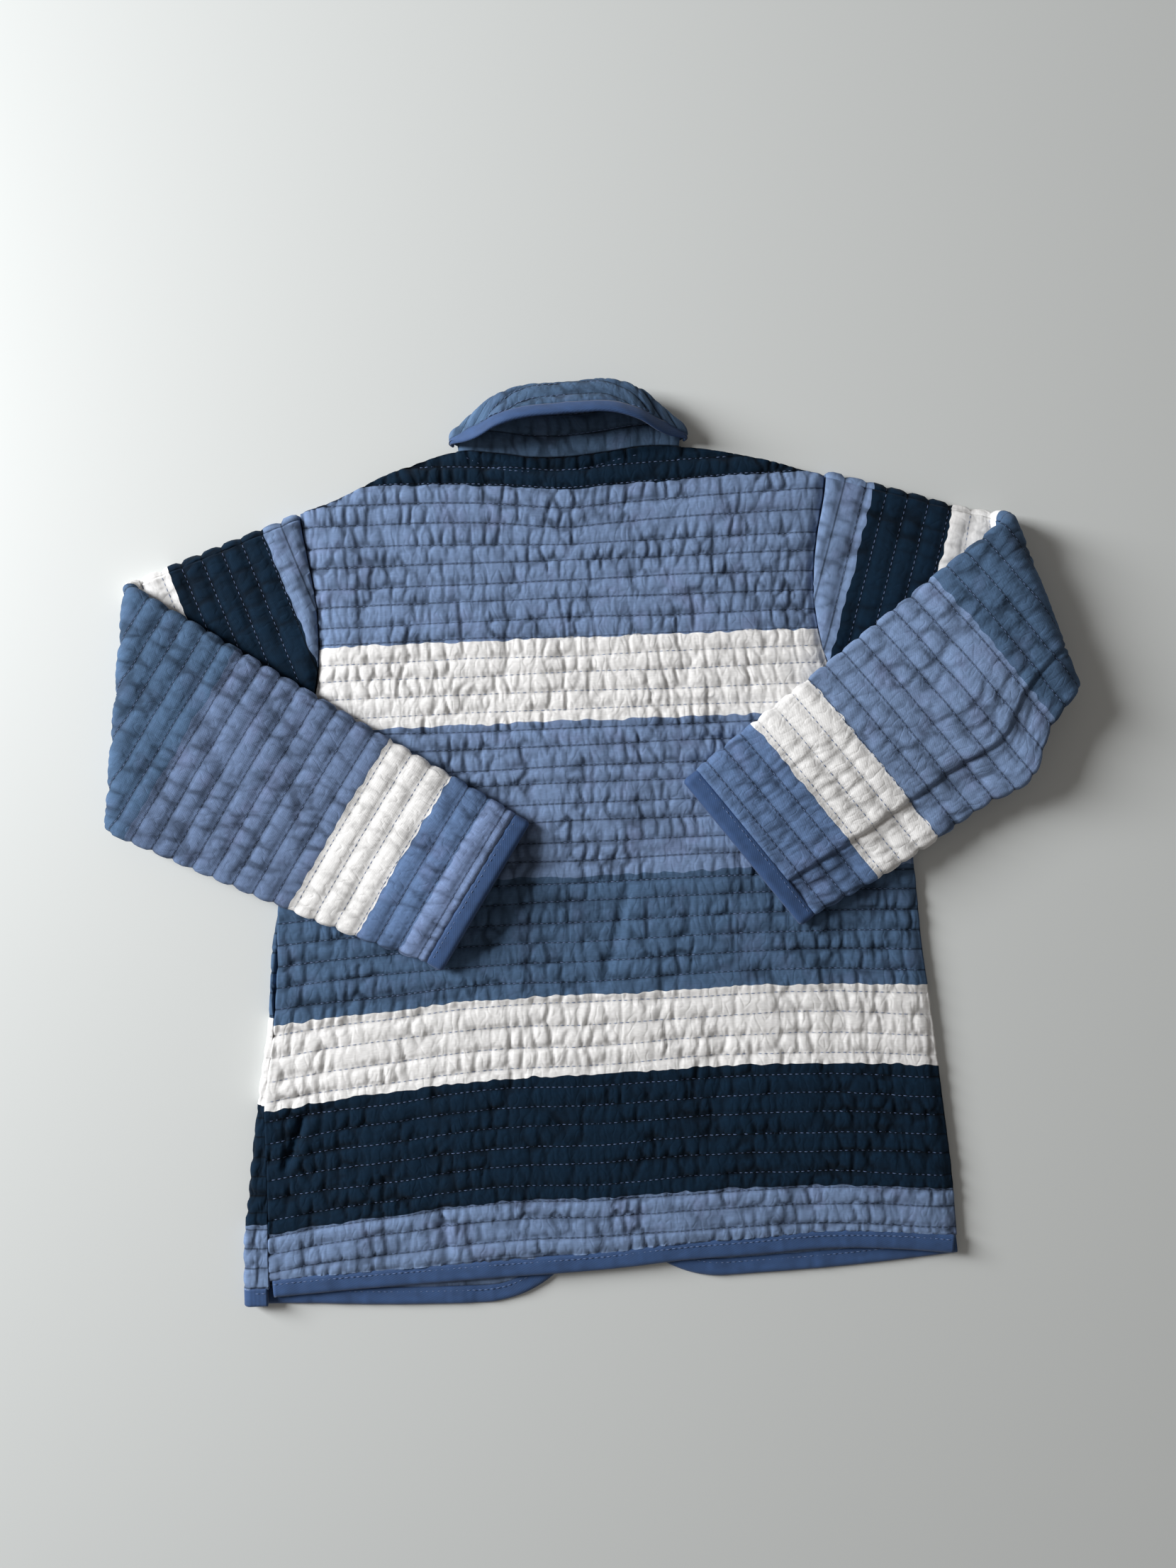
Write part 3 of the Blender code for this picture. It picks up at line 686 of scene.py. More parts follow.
def back_relief(x, y, row):
    """Depth of the back's cloth below its crests, with its folds and its rounded seams."""
    depth = relief(x, row, BACK_SEED, BACK_PITCH)
    for fold in BACK_FOLDS:
        depth = depth + trough(x, y, *fold)
    to_right = through(BODY_SIDES, y, 2) - x
    to_left = x - back_left(y)
    to_top = through(BACK_TOP, x) - y
    to_hem = y - through(BACK_HEM, x)
    seam = np.where(y > ARMPIT, np.minimum(to_left, to_right), to_right)
    rounded = dip(seam, 1.9, 3.4) + dip(seam, 0.9, 9.0)
    shoulder = dip(to_top, np.where(np.abs(x) > NECK_HALF, 1.6, 0.2), 4.5)
    at_neck = eased((NECK_LINE_HALF - np.abs(x - NECK_LINE_MIDDLE)) / 10)
    over_line = y - through(NECK_LINE, x)
    depth = depth + at_neck * (dip(over_line, 1.0, 1.5) - dip(over_line - 4, 0.5, 2.5))
    return np.minimum(depth + np.maximum(rounded, shoulder) + dip(to_hem, 0.9, 2.5), DEEPEST)


def on_back(x, row):
    """Places on the back's top, from a distance across and a place in rows."""
    height = line_height(row) + wander(x, row, BACK_SEED)
    return x, height + sag(x, height)


def back_surface(x, y, row):
    """A point of the back's top."""
    return np.stack([x, y, THICK - back_relief(x, y, row)], axis=-1)


# %% The back
BACK_COLUMNS = 356
LINES_PER_ROW = 6
FIRST_LINE, LAST_LINE = 2.5, 45.5
ROUNDS = 14  # how often a point's height is worked out again, as the edges depend on it


def shape_back(across, along):
    """The back's grid: rows of quilting, kept inside the panel's curved outline."""
    row = LAST_LINE + (FIRST_LINE - LAST_LINE) * along
    y = line_height(row)
    for _ in range(ROUNDS):
        left, right = back_left(y), through(BODY_SIDES, y, 2)
        x = left + (right - left) * across
        height = line_height(row) + wander(x, row, BACK_SEED)
        y = np.clip(height + sag(x, height), *back_outline(x))
    height = quilting_height(x, y)
    row = line_at(height - wander(x, row, BACK_SEED))
    return back_surface(x, y, row), np.stack([x, height, row], axis=-1), crumple(x, row, BACK_SEED)


back_rows = int((LAST_LINE - FIRST_LINE) * LINES_PER_ROW)
back = cloth("back_panel", BACK_COLUMNS, back_rows, shape_back)
face_up(back)
print("back's own area in square metres:", round(sum(f.area for f in back.data.polygons), 4))


# %% The back's underside
def close_below(piece, level):
    """Extrudes a panel's rim straight down to a level and fills it with one flat face."""
    pick(piece)
    bpy.ops.object.mode_set(mode="EDIT")
    bpy.ops.mesh.select_all(action="DESELECT")
    bpy.ops.mesh.select_mode(type="EDGE")
    bpy.ops.mesh.select_non_manifold()
    bpy.ops.mesh.extrude_edges_move()
    bpy.ops.object.mode_set(mode="OBJECT")
    for corner in piece.data.vertices:
        if corner.select:
            corner.co.z = level * MM
    bpy.ops.object.mode_set(mode="EDIT")
    bpy.ops.mesh.edge_face_add()
    bpy.ops.object.mode_set(mode="OBJECT")
    face_outwards(piece)


close_below(back, LAYER)
print("back closed:", triangles(back), "triangles")

# %% [markdown]
# ## The fronts
#
# The fronts lie under the back, face down, so almost nothing of them shows. The left one comes
# round the side and a strip of it lies on top, with its own quilting. What rests on the floor is
# pressed flat.


# %% Where a front lies
def front_outline(name, x):
    """Lowest and highest point of a front at each place across it."""
    edge = FRONT_EDGE[name]
    from_edge = np.abs(np.asarray(x, float) - edge)
    inside = np.clip(1 - from_edge / CORNER, 0, 1)
    lowest = through(FRONT_HEM[name], x) + CORNER * (1 - np.sqrt(1 - inside * inside))
    to_neck = np.clip((NECK_HALF - np.abs(x)) / (NECK_HALF - abs(edge)), 0, 1)
    highest = through(BACK_TOP, x) - FRONT_NECK_DROP * to_neck ** 0.9
    return lowest, highest


def wrapped(x, z, fold):
    """Rolls the cloth to the left of a fold line up and back over itself."""
    past = fold - x
    angle = np.clip(past / FOLD_MIDDLE, 0, np.pi)
    radius = FOLD_AXIS - z
    beyond = np.clip(past - np.pi * FOLD_MIDDLE, 0, None)
    rolled = fold - radius * np.sin(angle) + beyond
    return np.where(past > 0, rolled, x), np.where(past > 0, FOLD_AXIS - radius * np.cos(angle), z)


# %% A front's shape
FRONT_SEED = 60
FRONT_LINES = (46.5, 3.0)  # the places in rows that a front's grid runs between, from the hem up
FRONT_UNDER = 0.6  # share of the left front's grid that lies under the back
FRONT_WALL = 2.6


def shape_front(name):
    """A function that shapes a front's grid, quilted where it comes up round the side."""
    edge = FRONT_EDGE[name]

    def shape(across, along):
        row = FRONT_LINES[0] + (FRONT_LINES[1] - FRONT_LINES[0]) * along
        y = line_height(row)
        for _ in range(ROUNDS):
            if name == "front_right":
                x = edge + (through(BODY_SIDES, y, 2) - edge) * across
            else:
                fold = np.where(y < ARMPIT, through(SIDE_WRAP, y, 1), through(BODY_SIDES, y, 1))
                beyond = np.where(y < ARMPIT, through(SIDE_WRAP, y, 2), 0.0)
                x = edge + (fold - edge) * np.clip(across / FRONT_UNDER, 0, 1)
                x = x - beyond * np.clip((across - FRONT_UNDER) / (1 - FRONT_UNDER), 0, 1)
            y = np.clip(line_height(row), *front_outline(name, x))
        row = line_at(y)
        fold = through(SIDE_WRAP, y, 1)
        past = fold - x if name == "front_left" else x * 0
        shown = eased(past / 6.0)
        depth = relief(x, row, FRONT_SEED, BACK_PITCH) * shown + dip(x - edge, 0.9, 3.0)
        places = np.stack([x, y, np.maximum(depth, 0)], axis=-1)
        if name == "front_left":
            places[..., 0], places[..., 2] = wrapped(x, places[..., 2], fold)
        return places, np.stack([x, y, row], axis=-1), crumple(x, row, FRONT_SEED)

    return shape


# %% The fronts
front_left = cloth("front_left_panel", 100, 218, shape_front("front_left"))
face_up(front_left, -1)
thicken(front_left, FRONT_WALL, 0.0)
front_right = cloth("front_right_panel", 60, 87, shape_front("front_right"))
face_up(front_right, -1)
thicken(front_right, FRONT_WALL)
print("fronts:", triangles(front_left), triangles(front_right), "triangles")

# %% [markdown]
# ## The sleeves
#
# A sleeve is a flattened tube. It leaves the armhole, rolls over at a crease and comes back over
# the body. Each point is given as a length along the sleeve and a place round it, is laid out flat
# first and is then rolled over the crease, so the quilting and the bands stay true to the cloth.

# %% Where a sleeve lies
def turned(degrees):
    """A unit direction in the plan."""
    angle = math.radians(degrees)
    return np.array([math.cos(angle), math.sin(angle)])


def sleeve_section(name, along):
    """Width and the two walls' bulges, at a length along the sleeve."""
    table = SLEEVE_SECTIONS[name]
    return [through(table, along, column) for column in (1, 2, 3)]


def sleeve_place(name, along, flat, angle, depth):
    """A point of a folded sleeve: along it, across its flat, round its edge and into its wall."""
    cut = SLEEVES[name]
    side = cut["side"]
    width, back_bulge, front_bulge = sleeve_section(name, along)
    half = THICK / 2
    across = (width / 2 - half) * (flat + 1) + half + (half - depth) * np.cos(angle)
    up = half + (half - depth) * np.sin(angle)
    # The flat layout, whose heading may turn a little past the elbow
    steps = np.linspace(0, 400, 401)
    turns = np.radians(cut["heading"] + cut["bend"] * eased((steps - BEND_FROM) / BEND_OVER))
    line_x = cut["start"][0] + np.concatenate([[0], np.cumsum(np.cos(turns[:-1]))])
    line_y = cut["start"][1] + np.concatenate([[0], np.cumsum(np.sin(turns[:-1]))])
    turn = np.interp(along, steps, turns)
    x = np.interp(along, steps, line_x) - side * np.sin(turn) * across
    y = np.interp(along, steps, line_y) + side * np.cos(turn) * across
    # The fold: past the crease the sleeve rolls up and lies back over the body
    crease = turned(cut["crease"])
    away = side * np.array([-crease[1], crease[0]])
    from_crease = (x - cut["crease_at"][0], y - cut["crease_at"][1])
    past = from_crease[0] * away[0] + from_crease[1] * away[1]
    on_crease = from_crease[0] * crease[0] + from_crease[1] * crease[1]
    axis = cut["axis_height"]
    middle = axis - half
    swell = np.where(np.sin(angle) > 0, back_bulge, -front_bulge * eased(past / SWELLS_OVER))
    up = up + (1 - flat ** 2) * swell * np.abs(np.sin(angle))
    roll = np.clip(past / middle, 0, np.pi)
    radius = axis - up
    returned = np.clip(past - np.pi * middle, 0, None)
    high = 2 * axis - THICK
    rest = high + (cut["rest"] - high) * eased(returned / cut["drop_over"])
    reach = np.where(past <= 0, past, np.where(returned > 0, -returned, radius * np.sin(roll)))
    level = np.where(past <= 0, up, axis - radius * np.cos(roll))
    level = np.where(returned > 0, rest + THICK - up, level)
    x = cut["crease_at"][0] + reach * away[0] + on_crease * crease[0]
    y = cut["crease_at"][1] + reach * away[1] + on_crease * crease[1]
    return np.stack([x, y, level], axis=-1)


def armhole_start(name, across):
    """How far along the sleeve its cloth begins, so that it meets the armhole."""
    cut = SLEEVES[name]
    column = 1 if name == "sleeve_left" else 2
    heading = turned(cut["heading"])
    sideways = cut["side"] * np.array([-heading[1], heading[0]])
    heights = np.linspace(ARMPIT, cut["start"][1] - 1, 30)
    edge = np.stack([through(BODY_SIDES, heights, column), heights], axis=1) - cut["start"]
    table = np.stack([edge @ sideways, edge @ heading], axis=1)[::-1]
    return np.interp(across, table[:, 0], table[:, 1]) + ARMHOLE_GAP


# %% Round a sleeve
SLEEVE_FLAT = 105.0  # the width that the quilting and the bands are counted on


def round_sleeve(share):
    """At a share of the way round: the place across the flat, the edge's angle, the cloth's run."""
    flat_run, edge_run = SLEEVE_FLAT - THICK, math.pi * THICK / 2
    stops = np.cumsum([0.0, flat_run, edge_run, flat_run, edge_run])
    at = share * stops[-1]
    flat = np.interp(at, stops, (-1.0, 1.0, 1.0, -1.0, -1.0))
    quarter = math.pi / 2
    angle = np.interp(at, stops, (quarter, quarter, -quarter, -quarter, -3 * quarter))
    return flat, angle, at


SEAM_DROP_FROM = 135.0  # the strip beyond the seam starts to lie lower at this length
SLEEVE_BUBBLE = 9.5
SLEEVE_COLUMNS = 214
SLEEVE_STEP = SLEEVE_PITCH / 5  # five grid rows to a row of quilting, so one lies on each line
SLEEVE_CREST, SLEEVE_DEEPEST = -0.8, 3.2
SLEEVE_WALL = 2.2


def sleeve_relief(name, along, at):
    """Depth of a sleeve's cloth below its crests."""
    cut = SLEEVES[name]
    looks = cut["gathered"], SLEEVE_BUBBLE, cut["pillow"]
    depth = relief(at, along / SLEEVE_PITCH, cut["seed"], SLEEVE_PITCH, *looks)
    for fold in cut["folds"]:
        depth = depth + trough(along, at, *fold)
    seam = at - cut["seam_at"]
    beside = eased(0.5 - seam / 1.8) * eased((seam + 19) / 10)
    beside = beside * eased((along - SEAM_DROP_FROM) / 20)
    depth = depth + cut["seam_drop"] * beside - dip(seam - 3.5, 0.5, 3.0)
    depth = depth + dip(seam + 0.8, 1.1, 1.1) + dip(cut["length"] - along, 0.8, 3.0)
    return np.clip(depth, SLEEVE_CREST, SLEEVE_DEEPEST)


def sleeve_start(name, flat, angle):
    """How far along each place round the sleeve begins."""
    width = sleeve_section(name, 40.0)[0]
    across = (width - THICK) * (flat + 1) / 2 + THICK / 2 * (1 + np.cos(angle))
    return armhole_start(name, across)


def shape_sleeve(name):
    """A function that shapes a sleeve's grid."""
    cut = SLEEVES[name]

    def shape(across, along_share):
        flat, angle, at = round_sleeve(across)
        start = sleeve_start(name, flat, angle)
        along = along_share * cut["grid_rows"] * SLEEVE_STEP
        along = np.maximum(np.where(along_share < 1, along, cut["length"]), start)
        to_seam = along - start
        depth = sleeve_relief(name, along, at) + dip(to_seam, 1.5, 1.6)
        depth = np.maximum(depth - dip(to_seam - 6, 0.7, 4.0), SLEEVE_CREST)
        places = sleeve_place(name, along, flat, angle, depth)
        row = along / SLEEVE_PITCH
        sunk = crumple(at, row, cut["seed"], SLEEVE_BUBBLE)
        return places, np.stack([at, along, row], axis=-1), sunk

    return shape


# %% The sleeves
sleeves = {}
for name, cut in SLEEVES.items():
    sleeve = cloth(name + "_panel", SLEEVE_COLUMNS, cut["grid_rows"], shape_sleeve(name))
    face_outwards(sleeve)
    thicken(sleeve, SLEEVE_WALL, 0.0)
    sleeves[name] = sleeve
    print(name, triangles(sleeve), "triangles")

# %% [markdown]
# ## Collar
#
# One folded strip runs round the neck: a stand that lies along the back, a roll, and a fall that
# comes back over the stand. Its sizes change round the neck, so it follows stations.

# %% Where the collar lies
def collar_station(at):
    """The collar's sizes at a place counted from the centre back, right positive."""
    table = [(k, *row) for k, row in enumerate(COLLAR_STATIONS)]
    x, z, way, *sizes = [float(through(table, abs(at), column)) for column in range(1, 9)]
    if at < 0:
        x, way = -x, 180 - way
    first, last = COLLAR_TURNS
    front = eased((abs(at) - first) / (last - first))
    front_neck = front_outline("front_left" if at < 0 else "front_right", x)[1]
    neck = (1 - front) * through(BACK_TOP, x) + front * front_neck
    return (x, float(neck), z, way, *sizes)


def collar_binding_width(fall):
    """The bound part of a fall."""
    return np.minimum(COLLAR_BINDING_WIDTH, COLLAR_BINDING_SHARE * fall)


def collar_width(stand, roll, fall, slope):
    """The cloth's width from the neck seam to the binding."""
    return stand + roll * np.radians(180 - slope) + fall - collar_binding_width(fall)


def collar_place(at, share, beyond, level):
    """A point of the collar: round the neck, from the seam to the binding and past it, its face."""
    x, y, z, way, stand, roll, fall, slope, thick = collar_station(at)
    end = math.radians(180 - slope)
    arc = roll * end
    run = share * collar_width(stand, roll, fall, slope) + beyond
    turn = min(max(run - stand, 0) / roll, end)
    past = max(run - stand - arc, 0)
    reach = min(run, stand) + roll * math.sin(turn) + past * math.cos(end)
    rise = roll * (1 - math.cos(turn)) + past * math.sin(end)
    reach += level * thick / 2 * math.sin(turn)
    rise -= level * thick / 2 * math.cos(turn)
    out = turned(way)
    return np.array([x + out[0] * rise, y + NECK_GAP + reach, z + out[1] * rise])


# %% The collar
COLLAR_LAST = len(COLLAR_STATIONS) - 1
COLLAR_SEED = 140
COLLAR_GRID = (104, 216)
INNER_FACE = 300  # how far off the inner face reads its random values


def collar_stops(count):
    """Stations round the whole collar, counted from the centre back, denser where it turns."""
    half = np.interp(np.linspace(0, 1, count), (0, 0.5, 0.72, 1), (0, 3.4, 7, COLLAR_LAST))
    return np.concatenate([-half[:0:-1], half])


def collar_level(at, face, run_along, run, thick):
    """How far a face lies from the wall's middle, in half thicknesses. It is thin at the seam."""
    place = run_along + INNER_FACE * (face < 0)
    depth = 0.9 * relief(place, run / COLLAR_PITCH, COLLAR_SEED, COLLAR_PITCH, 0.55)
    depth = depth * eased(COLLAR_TURNS[0] + 1.0 - np.abs(at))
    return face * np.clip(1 - depth / (thick / 2), 0.05, 1.5) * (0.25 + 0.75 * eased(run / 7))


def shape_collar(across, along):
    """Both faces of the collar in one closed section, each quilted in rows along it."""
    stops = collar_stops((along.shape[0] + 1) // 2)
    seam = np.array([collar_place(at, 0.0, 0.0, 0.0) for at in stops])
    sizes = np.array([collar_station(at)[4:] for at in stops])
    width = collar_width(*sizes.T[:4])
    share = 1 - np.abs(2 * across - 1)
    face = np.where(across < 0.5, 1.0, -1.0)
    run = share * width[:, None]
    row = run / COLLAR_PITCH
    run_along = np.broadcast_to(distances(seam)[:, None], run.shape)
    place = run_along + INNER_FACE * (face < 0)
    level = collar_level(stops[:, None], face, run_along, run, sizes[:, 4:])
    level[(share < 0.001) | (share > 0.999)] = 0.0
    places = np.zeros((*along.shape, 3))
    for i, at in enumerate(stops):
        for j in range(across.shape[1]):
            places[i, j] = collar_place(at, share[i, j], -0.8 * (1 - share[i, j]) ** 4, level[i, j])
    return places, np.stack([run_along, run, row], axis=-1), crumple(place, row, COLLAR_SEED)


collar = cloth("collar_panel", *COLLAR_GRID, shape_collar)
face_outwards(collar, fill=True)
print("collar:", triangles(collar), "triangles")

# %% [markdown]
# ## Bindings
#
# Every free edge is bound with a narrow strip of smooth cotton twill, folded over it and stitched
# down close to its inner edge. Here a section of the folded strip is swept along each edge, and the
# strip keeps small swellings between its stitches.


# %% The binding's section
def strip_section(share, width, thick):
    """A folded strip's reach out from its seam and its height, at shares of the way round it."""
    corners = np.array([
        (-STRIP_TUCK, 0.0),
        (-STRIP_TUCK, thick - 0.3),
        (1.8, thick),
        (width - 2.0, thick),
        (width - 0.5, 0.75 * thick),
        (width, 0.45 * thick),
        (width - 0.7, 0.0),
        (-STRIP_TUCK, 0.0),
    ])
    steps = distances(corners)
    at = share * steps[-1]
    return np.interp(at, steps, corners[:, 0]), np.interp(at, steps, corners[:, 1]), at


def outward_of(path):
    """Directions square to a path, to the right of the way it runs."""
    run = np.gradient(path, axis=0)
    run /= np.linalg.norm(run, axis=1)[:, None]
    return np.stack([run[:, 1], -run[:, 0]], axis=1)


def binding_swell(high, run, seed, thick):
    """The small swellings of a bound edge, on its upper side only."""
    level = np.zeros_like(high)
    swell = 0.6 * patchy(run / 7.0, level + 0.5, seed) + 0.35 * patchy(run / 2.6, level + 3.5, seed)
    swell = swell + 0.8 * patchy(run / 24.0, level + 6.5, seed) - 0.9
    return swell * np.clip(high / thick, 0, 1)


def shape_binding(path, outward, under, seed, rolls):
    """A function that shapes a binding along a path. The left front's rolls round the side."""
    steps = distances(path)

    def shape(across, along):
        reach, high, at = strip_section(across, BINDING_WIDTH, BINDING_THICK)
        run = along * steps[-1]
        x = np.interp(run, steps, path[:, 0]) + np.interp(run, steps, outward[:, 0]) * reach
        y = np.interp(run, steps, path[:, 1]) + np.interp(run, steps, outward[:, 1]) * reach
        z = under + high + binding_swell(high, run, seed, BINDING_THICK)
        if rolls:
            x, z = wrapped(x, np.clip(z, 0.0, FOLD_AXIS - 0.3), through(SIDE_WRAP, y, 1))
        return np.stack([x, y, z], axis=-1), np.stack([run, at, reach], axis=-1), 0.0

    return shape


# %% The hem and front bindings
STRIP_COLUMNS = 22
STRIP_STEP, ROLLED_STEP = 1.6, 1.0  # length of a grid row along a binding
CUFF_STEPS = 150
BINDING_SEED, CUFF_SEED, COLLAR_BINDING_SEED = 200, 210, 230
HEM_INSET = 1.5  # the back's hem binding starts this far inside each side
FRONT_HEM_STARTS = {"front_left": -198.0, "front_right": 185.5}


def hem_path():
    """The back's lower edge, from side to side."""
    left, right = float(back_left(-220.0)), float(through(BODY_SIDES, -212.0, 2))
    x = np.linspace(left + HEM_INSET, right - HEM_INSET, 90)
    return np.stack([x, through(BACK_HEM, x)], axis=1)


def front_path(front):
    """A front's lower edge, its rounded corner and its front edge."""
    side = 1 if front == "front_left" else -1
    edge = FRONT_EDGE[front]
    x = np.linspace(FRONT_HEM_STARTS[front], edge - side * CORNER, 60)
    hem = np.stack([x, through(FRONT_HEM[front], x)], axis=1)
    turn = np.radians(np.linspace(0, 90, 30))[1:]
    x = edge - side * CORNER * (1 - np.sin(turn))
    corner = np.stack([x, front_outline(front, x)[0]], axis=1)
    rise = np.linspace(corner[-1, 1], float(front_outline(front, edge)[1]) - 3, 60)[1:]
    return np.concatenate([hem, corner, np.stack([np.full(59, edge), rise], axis=1)])


binding_paths = {"hem_binding": (hem_path(), outward_of(hem_path()), LAYER)}
for front, side in (("front_left", 1), ("front_right", -1)):
    path = front_path(front)
    binding_paths[front + "_binding"] = (path, outward_of(path) * side, 0.0)
bindings = {}
for seed, (name, (path, outward, under)) in enumerate(binding_paths.items()):
    length = distances(path)[-1]
    rolls = name == "front_left_binding"
    shape = shape_binding(path, outward, under, BINDING_SEED + seed, rolls)
    strip_rows = int(length / (ROLLED_STEP if rolls else STRIP_STEP))
    bindings[name] = cloth(name, STRIP_COLUMNS, strip_rows, shape)
    face_outwards(bindings[name], fill=True)
    print(name, round(length), "mm long,", triangles(bindings[name]), "triangles")


# %% The cuff bindings
def shape_cuff(name):
    """A function that shapes the ring folded round a cuff."""

    def shape(across, along):
        reach, high, at = strip_section(across, BINDING_WIDTH, BINDING_THICK)
        flat, angle, run = round_sleeve(along)
        high = high + binding_swell(high, run, CUFF_SEED, BINDING_THICK)
        places = sleeve_place(name, SLEEVES[name]["length"] + reach, flat, angle, WALL - high)
        return places, np.stack([run, at, reach], axis=-1), 0.0

    return shape


for name in SLEEVES:
    cuff = name.replace("sleeve", "cuff_binding")
    bindings[cuff] = cloth(cuff, STRIP_COLUMNS, CUFF_STEPS, shape_cuff(name))
    face_outwards(bindings[cuff])


# %% The collar's binding
def shape_collar_binding(across, along):
    """The strip folded round the free edge of the fall."""
    shares = np.interp(along[:, 0], (0, 0.25, 0.5, 0.75, 1), (-1, -0.62, 0, 0.62, 1))
    stops = shares * COLLAR_BOUND_TO
    places, cut = np.zeros((*along.shape, 3)), np.zeros((*along.shape, 3))
    run, last = 0.0, None
    for i, at in enumerate(stops):
        *_, fall, _, thick = collar_station(at)
        reach, high, round_it = strip_section(across[i], collar_binding_width(fall), 0.9 * thick)
        here = collar_place(at, 1.0, 0.0, 0.0)
        run += 0.0 if last is None else float(np.linalg.norm(here - last))
        last = here
        swell = binding_swell(high, np.full_like(high, run), COLLAR_BINDING_SEED, thick)
        high = high + 0.6 * swell
        for j in range(len(reach)):
            places[i, j] = collar_place(at, 1.0, reach[j], 2 * high[j] / thick - 0.8)
            cut[i, j] = run, round_it[j], reach[j]
    return places, cut, 0.0


bindings["collar_binding"] = cloth("collar_binding", 16, 130, shape_collar_binding)
face_outwards(bindings["collar_binding"], fill=True)
print("bindings:", sorted(bindings))

# %% [markdown]
# ## Stitches
#
# The quilting is sewn with a mid blue thread, about eight stitches to the inch. Each stitch is a
# short length of thread that dives into the cloth at both ends. One is modelled and copied along
# every line: on the navy cloth they show as pale dashes, and on the white as a fine blue line.

# %% One stitch
STITCH_PITCH = 3.1
STITCH_LENGTH = 2.35
THREAD = 0.40
bpy.ops.object.select_all(action="DESELECT")
bpy.ops.mesh.primitive_cylinder_add(vertices=5, radius=0.5, depth=1.0, rotation=(0, math.pi / 2, 0))
stitch = bpy.context.object
bpy.ops.object.transform_apply(rotation=True)
bpy.ops.object.mode_set(mode="EDIT")
bpy.ops.mesh.select_all(action="SELECT")
bpy.ops.mesh.bisect(plane_co=(0, 0, 0), plane_no=(1, 0, 0))
bpy.ops.object.mode_set(mode="OBJECT")
stitch_points = np.array([corner.co for corner in stitch.data.vertices])
stitch_faces = [tuple(face.vertices) for face in stitch.data.polygons]
bpy.data.objects.remove(stitch)
print("one stitch:", len(stitch_faces), "faces")


# %% Copying stitches along lines
def sew(name, lines):
    """One mesh of stitches along lines, each given as points on the cloth and the way it faces."""
    vertices, count = [], 0
    middle = 1 - np.abs(stitch_points[:, 0]) * 2
    taper = 0.55 + 0.45 * middle
    lift = 0.30 * middle - 0.12
    for points, facing in lines:
        steps = distances(points)
        for start in np.arange(0.5, steps[-1] - STITCH_PITCH, STITCH_PITCH):
            end = start + STITCH_LENGTH
            ends = [np.array([np.interp(at, steps, line) for line in points.T]) for at in (start, end)]
            up = np.array([np.interp((start + end) / 2, steps, line) for line in facing.T])
            along = ends[1] - ends[0]
            length = np.linalg.norm(along)
            if length < 0.6 * STITCH_LENGTH:
                continue
            side = np.cross(up, along / length)
            side, up = side / np.linalg.norm(side), up / np.linalg.norm(up)
            body = (ends[0] + ends[1]) / 2 + np.outer(stitch_points[:, 0], along)
            body += np.outer(stitch_points[:, 1] * THREAD * taper, side)
            body += np.outer(stitch_points[:, 2] * THREAD * 0.8 * taper + lift, up)
            vertices.append(body)
            count += 1
    size = len(stitch_points)
    faces = [tuple(k * size + v for v in face) for k in range(count) for face in stitch_faces]
    data = bpy.data.meshes.new(name)
    data.from_pydata(((np.concatenate(vertices) + SHIFT) * MM).tolist(), [], faces)
    data.shade_smooth()
    piece = bpy.data.objects.new(name, data)
    bpy.context.scene.collection.objects.link(piece)
    print(name, count, "stitches")
    return piece


def upright(points):
    """Straight up, once for each of some points."""
    return np.tile((0.0, 0.0, 1.0), (len(points), 1))


def stretches(inside):
    """The longer runs of points for which something holds."""
    ends = np.flatnonzero(np.diff(inside.astype(int))) + 1
    parts = np.split(np.arange(len(inside)), ends)
    return [part for part in parts if len(part) > 8 and inside[part[0]]]


# %% Stitches on the back
STITCH_STEP = 0.9  # between the points of a line of stitches


def back_lines():
    """The back's lines of quilting, each clipped to the panel."""
    lines = []
    for row in range(math.ceil(FIRST_LINE), math.ceil(LAST_LINE)):
        x = np.arange(-185.0, 186.0, STITCH_STEP)
        x, y = on_back(x, np.full_like(x, row))
        lowest, highest = back_outline(x)
        inside = (y > lowest + 1) & (y < highest - 1.5)
        inside &= (x > back_left(y) + 1.5) & (x < through(BODY_SIDES, y, 2) - 1.5)
        for part in stretches(inside):
            points = back_surface(x[part], y[part], np.full(len(part), float(row)))
            lines.append((points, upright(points)))
    return lines


def neck_topstitch():
    """The curved line of stitches below the neck seam."""
    x = np.arange(-54.0, 48.0, STITCH_STEP)
    y = through(NECK_LINE, x)
    points = back_surface(x, y, line_at(quilting_height(x, y)))
    return points, upright(points)


def strip_lines():
    """The lines on the left front's strip, where it comes up round the side."""
    lines = []
    for row in range(20, 46):
        y = float(line_height(row))
        fold, beyond = float(through(SIDE_WRAP, y, 1)), float(through(SIDE_WRAP, y, 2))
        if y < ARMPIT and beyond > 3:
            x = fold - np.linspace(1.0, beyond - 0.5, 30)
            rows = np.full_like(x, row)
            depth = relief(x, rows, FRONT_SEED, BACK_PITCH) * eased((fold - x) / 6.0)
            faces = []
            for lift in (0.0, 1.0):
                across, z = wrapped(x, np.maximum(depth, 0) - lift, fold)
                faces.append(np.stack([across, np.full_like(x, y), z], axis=-1))
            lines.append((faces[0], faces[1] - faces[0]))
    return lines


thread_pieces = {
    "back": sew("back_stitches", [*back_lines(), neck_topstitch()]),
    "front_left": sew("front_left_stitches", strip_lines()),
}


# %% Stitches on the sleeves
ROUND_POINTS = 260


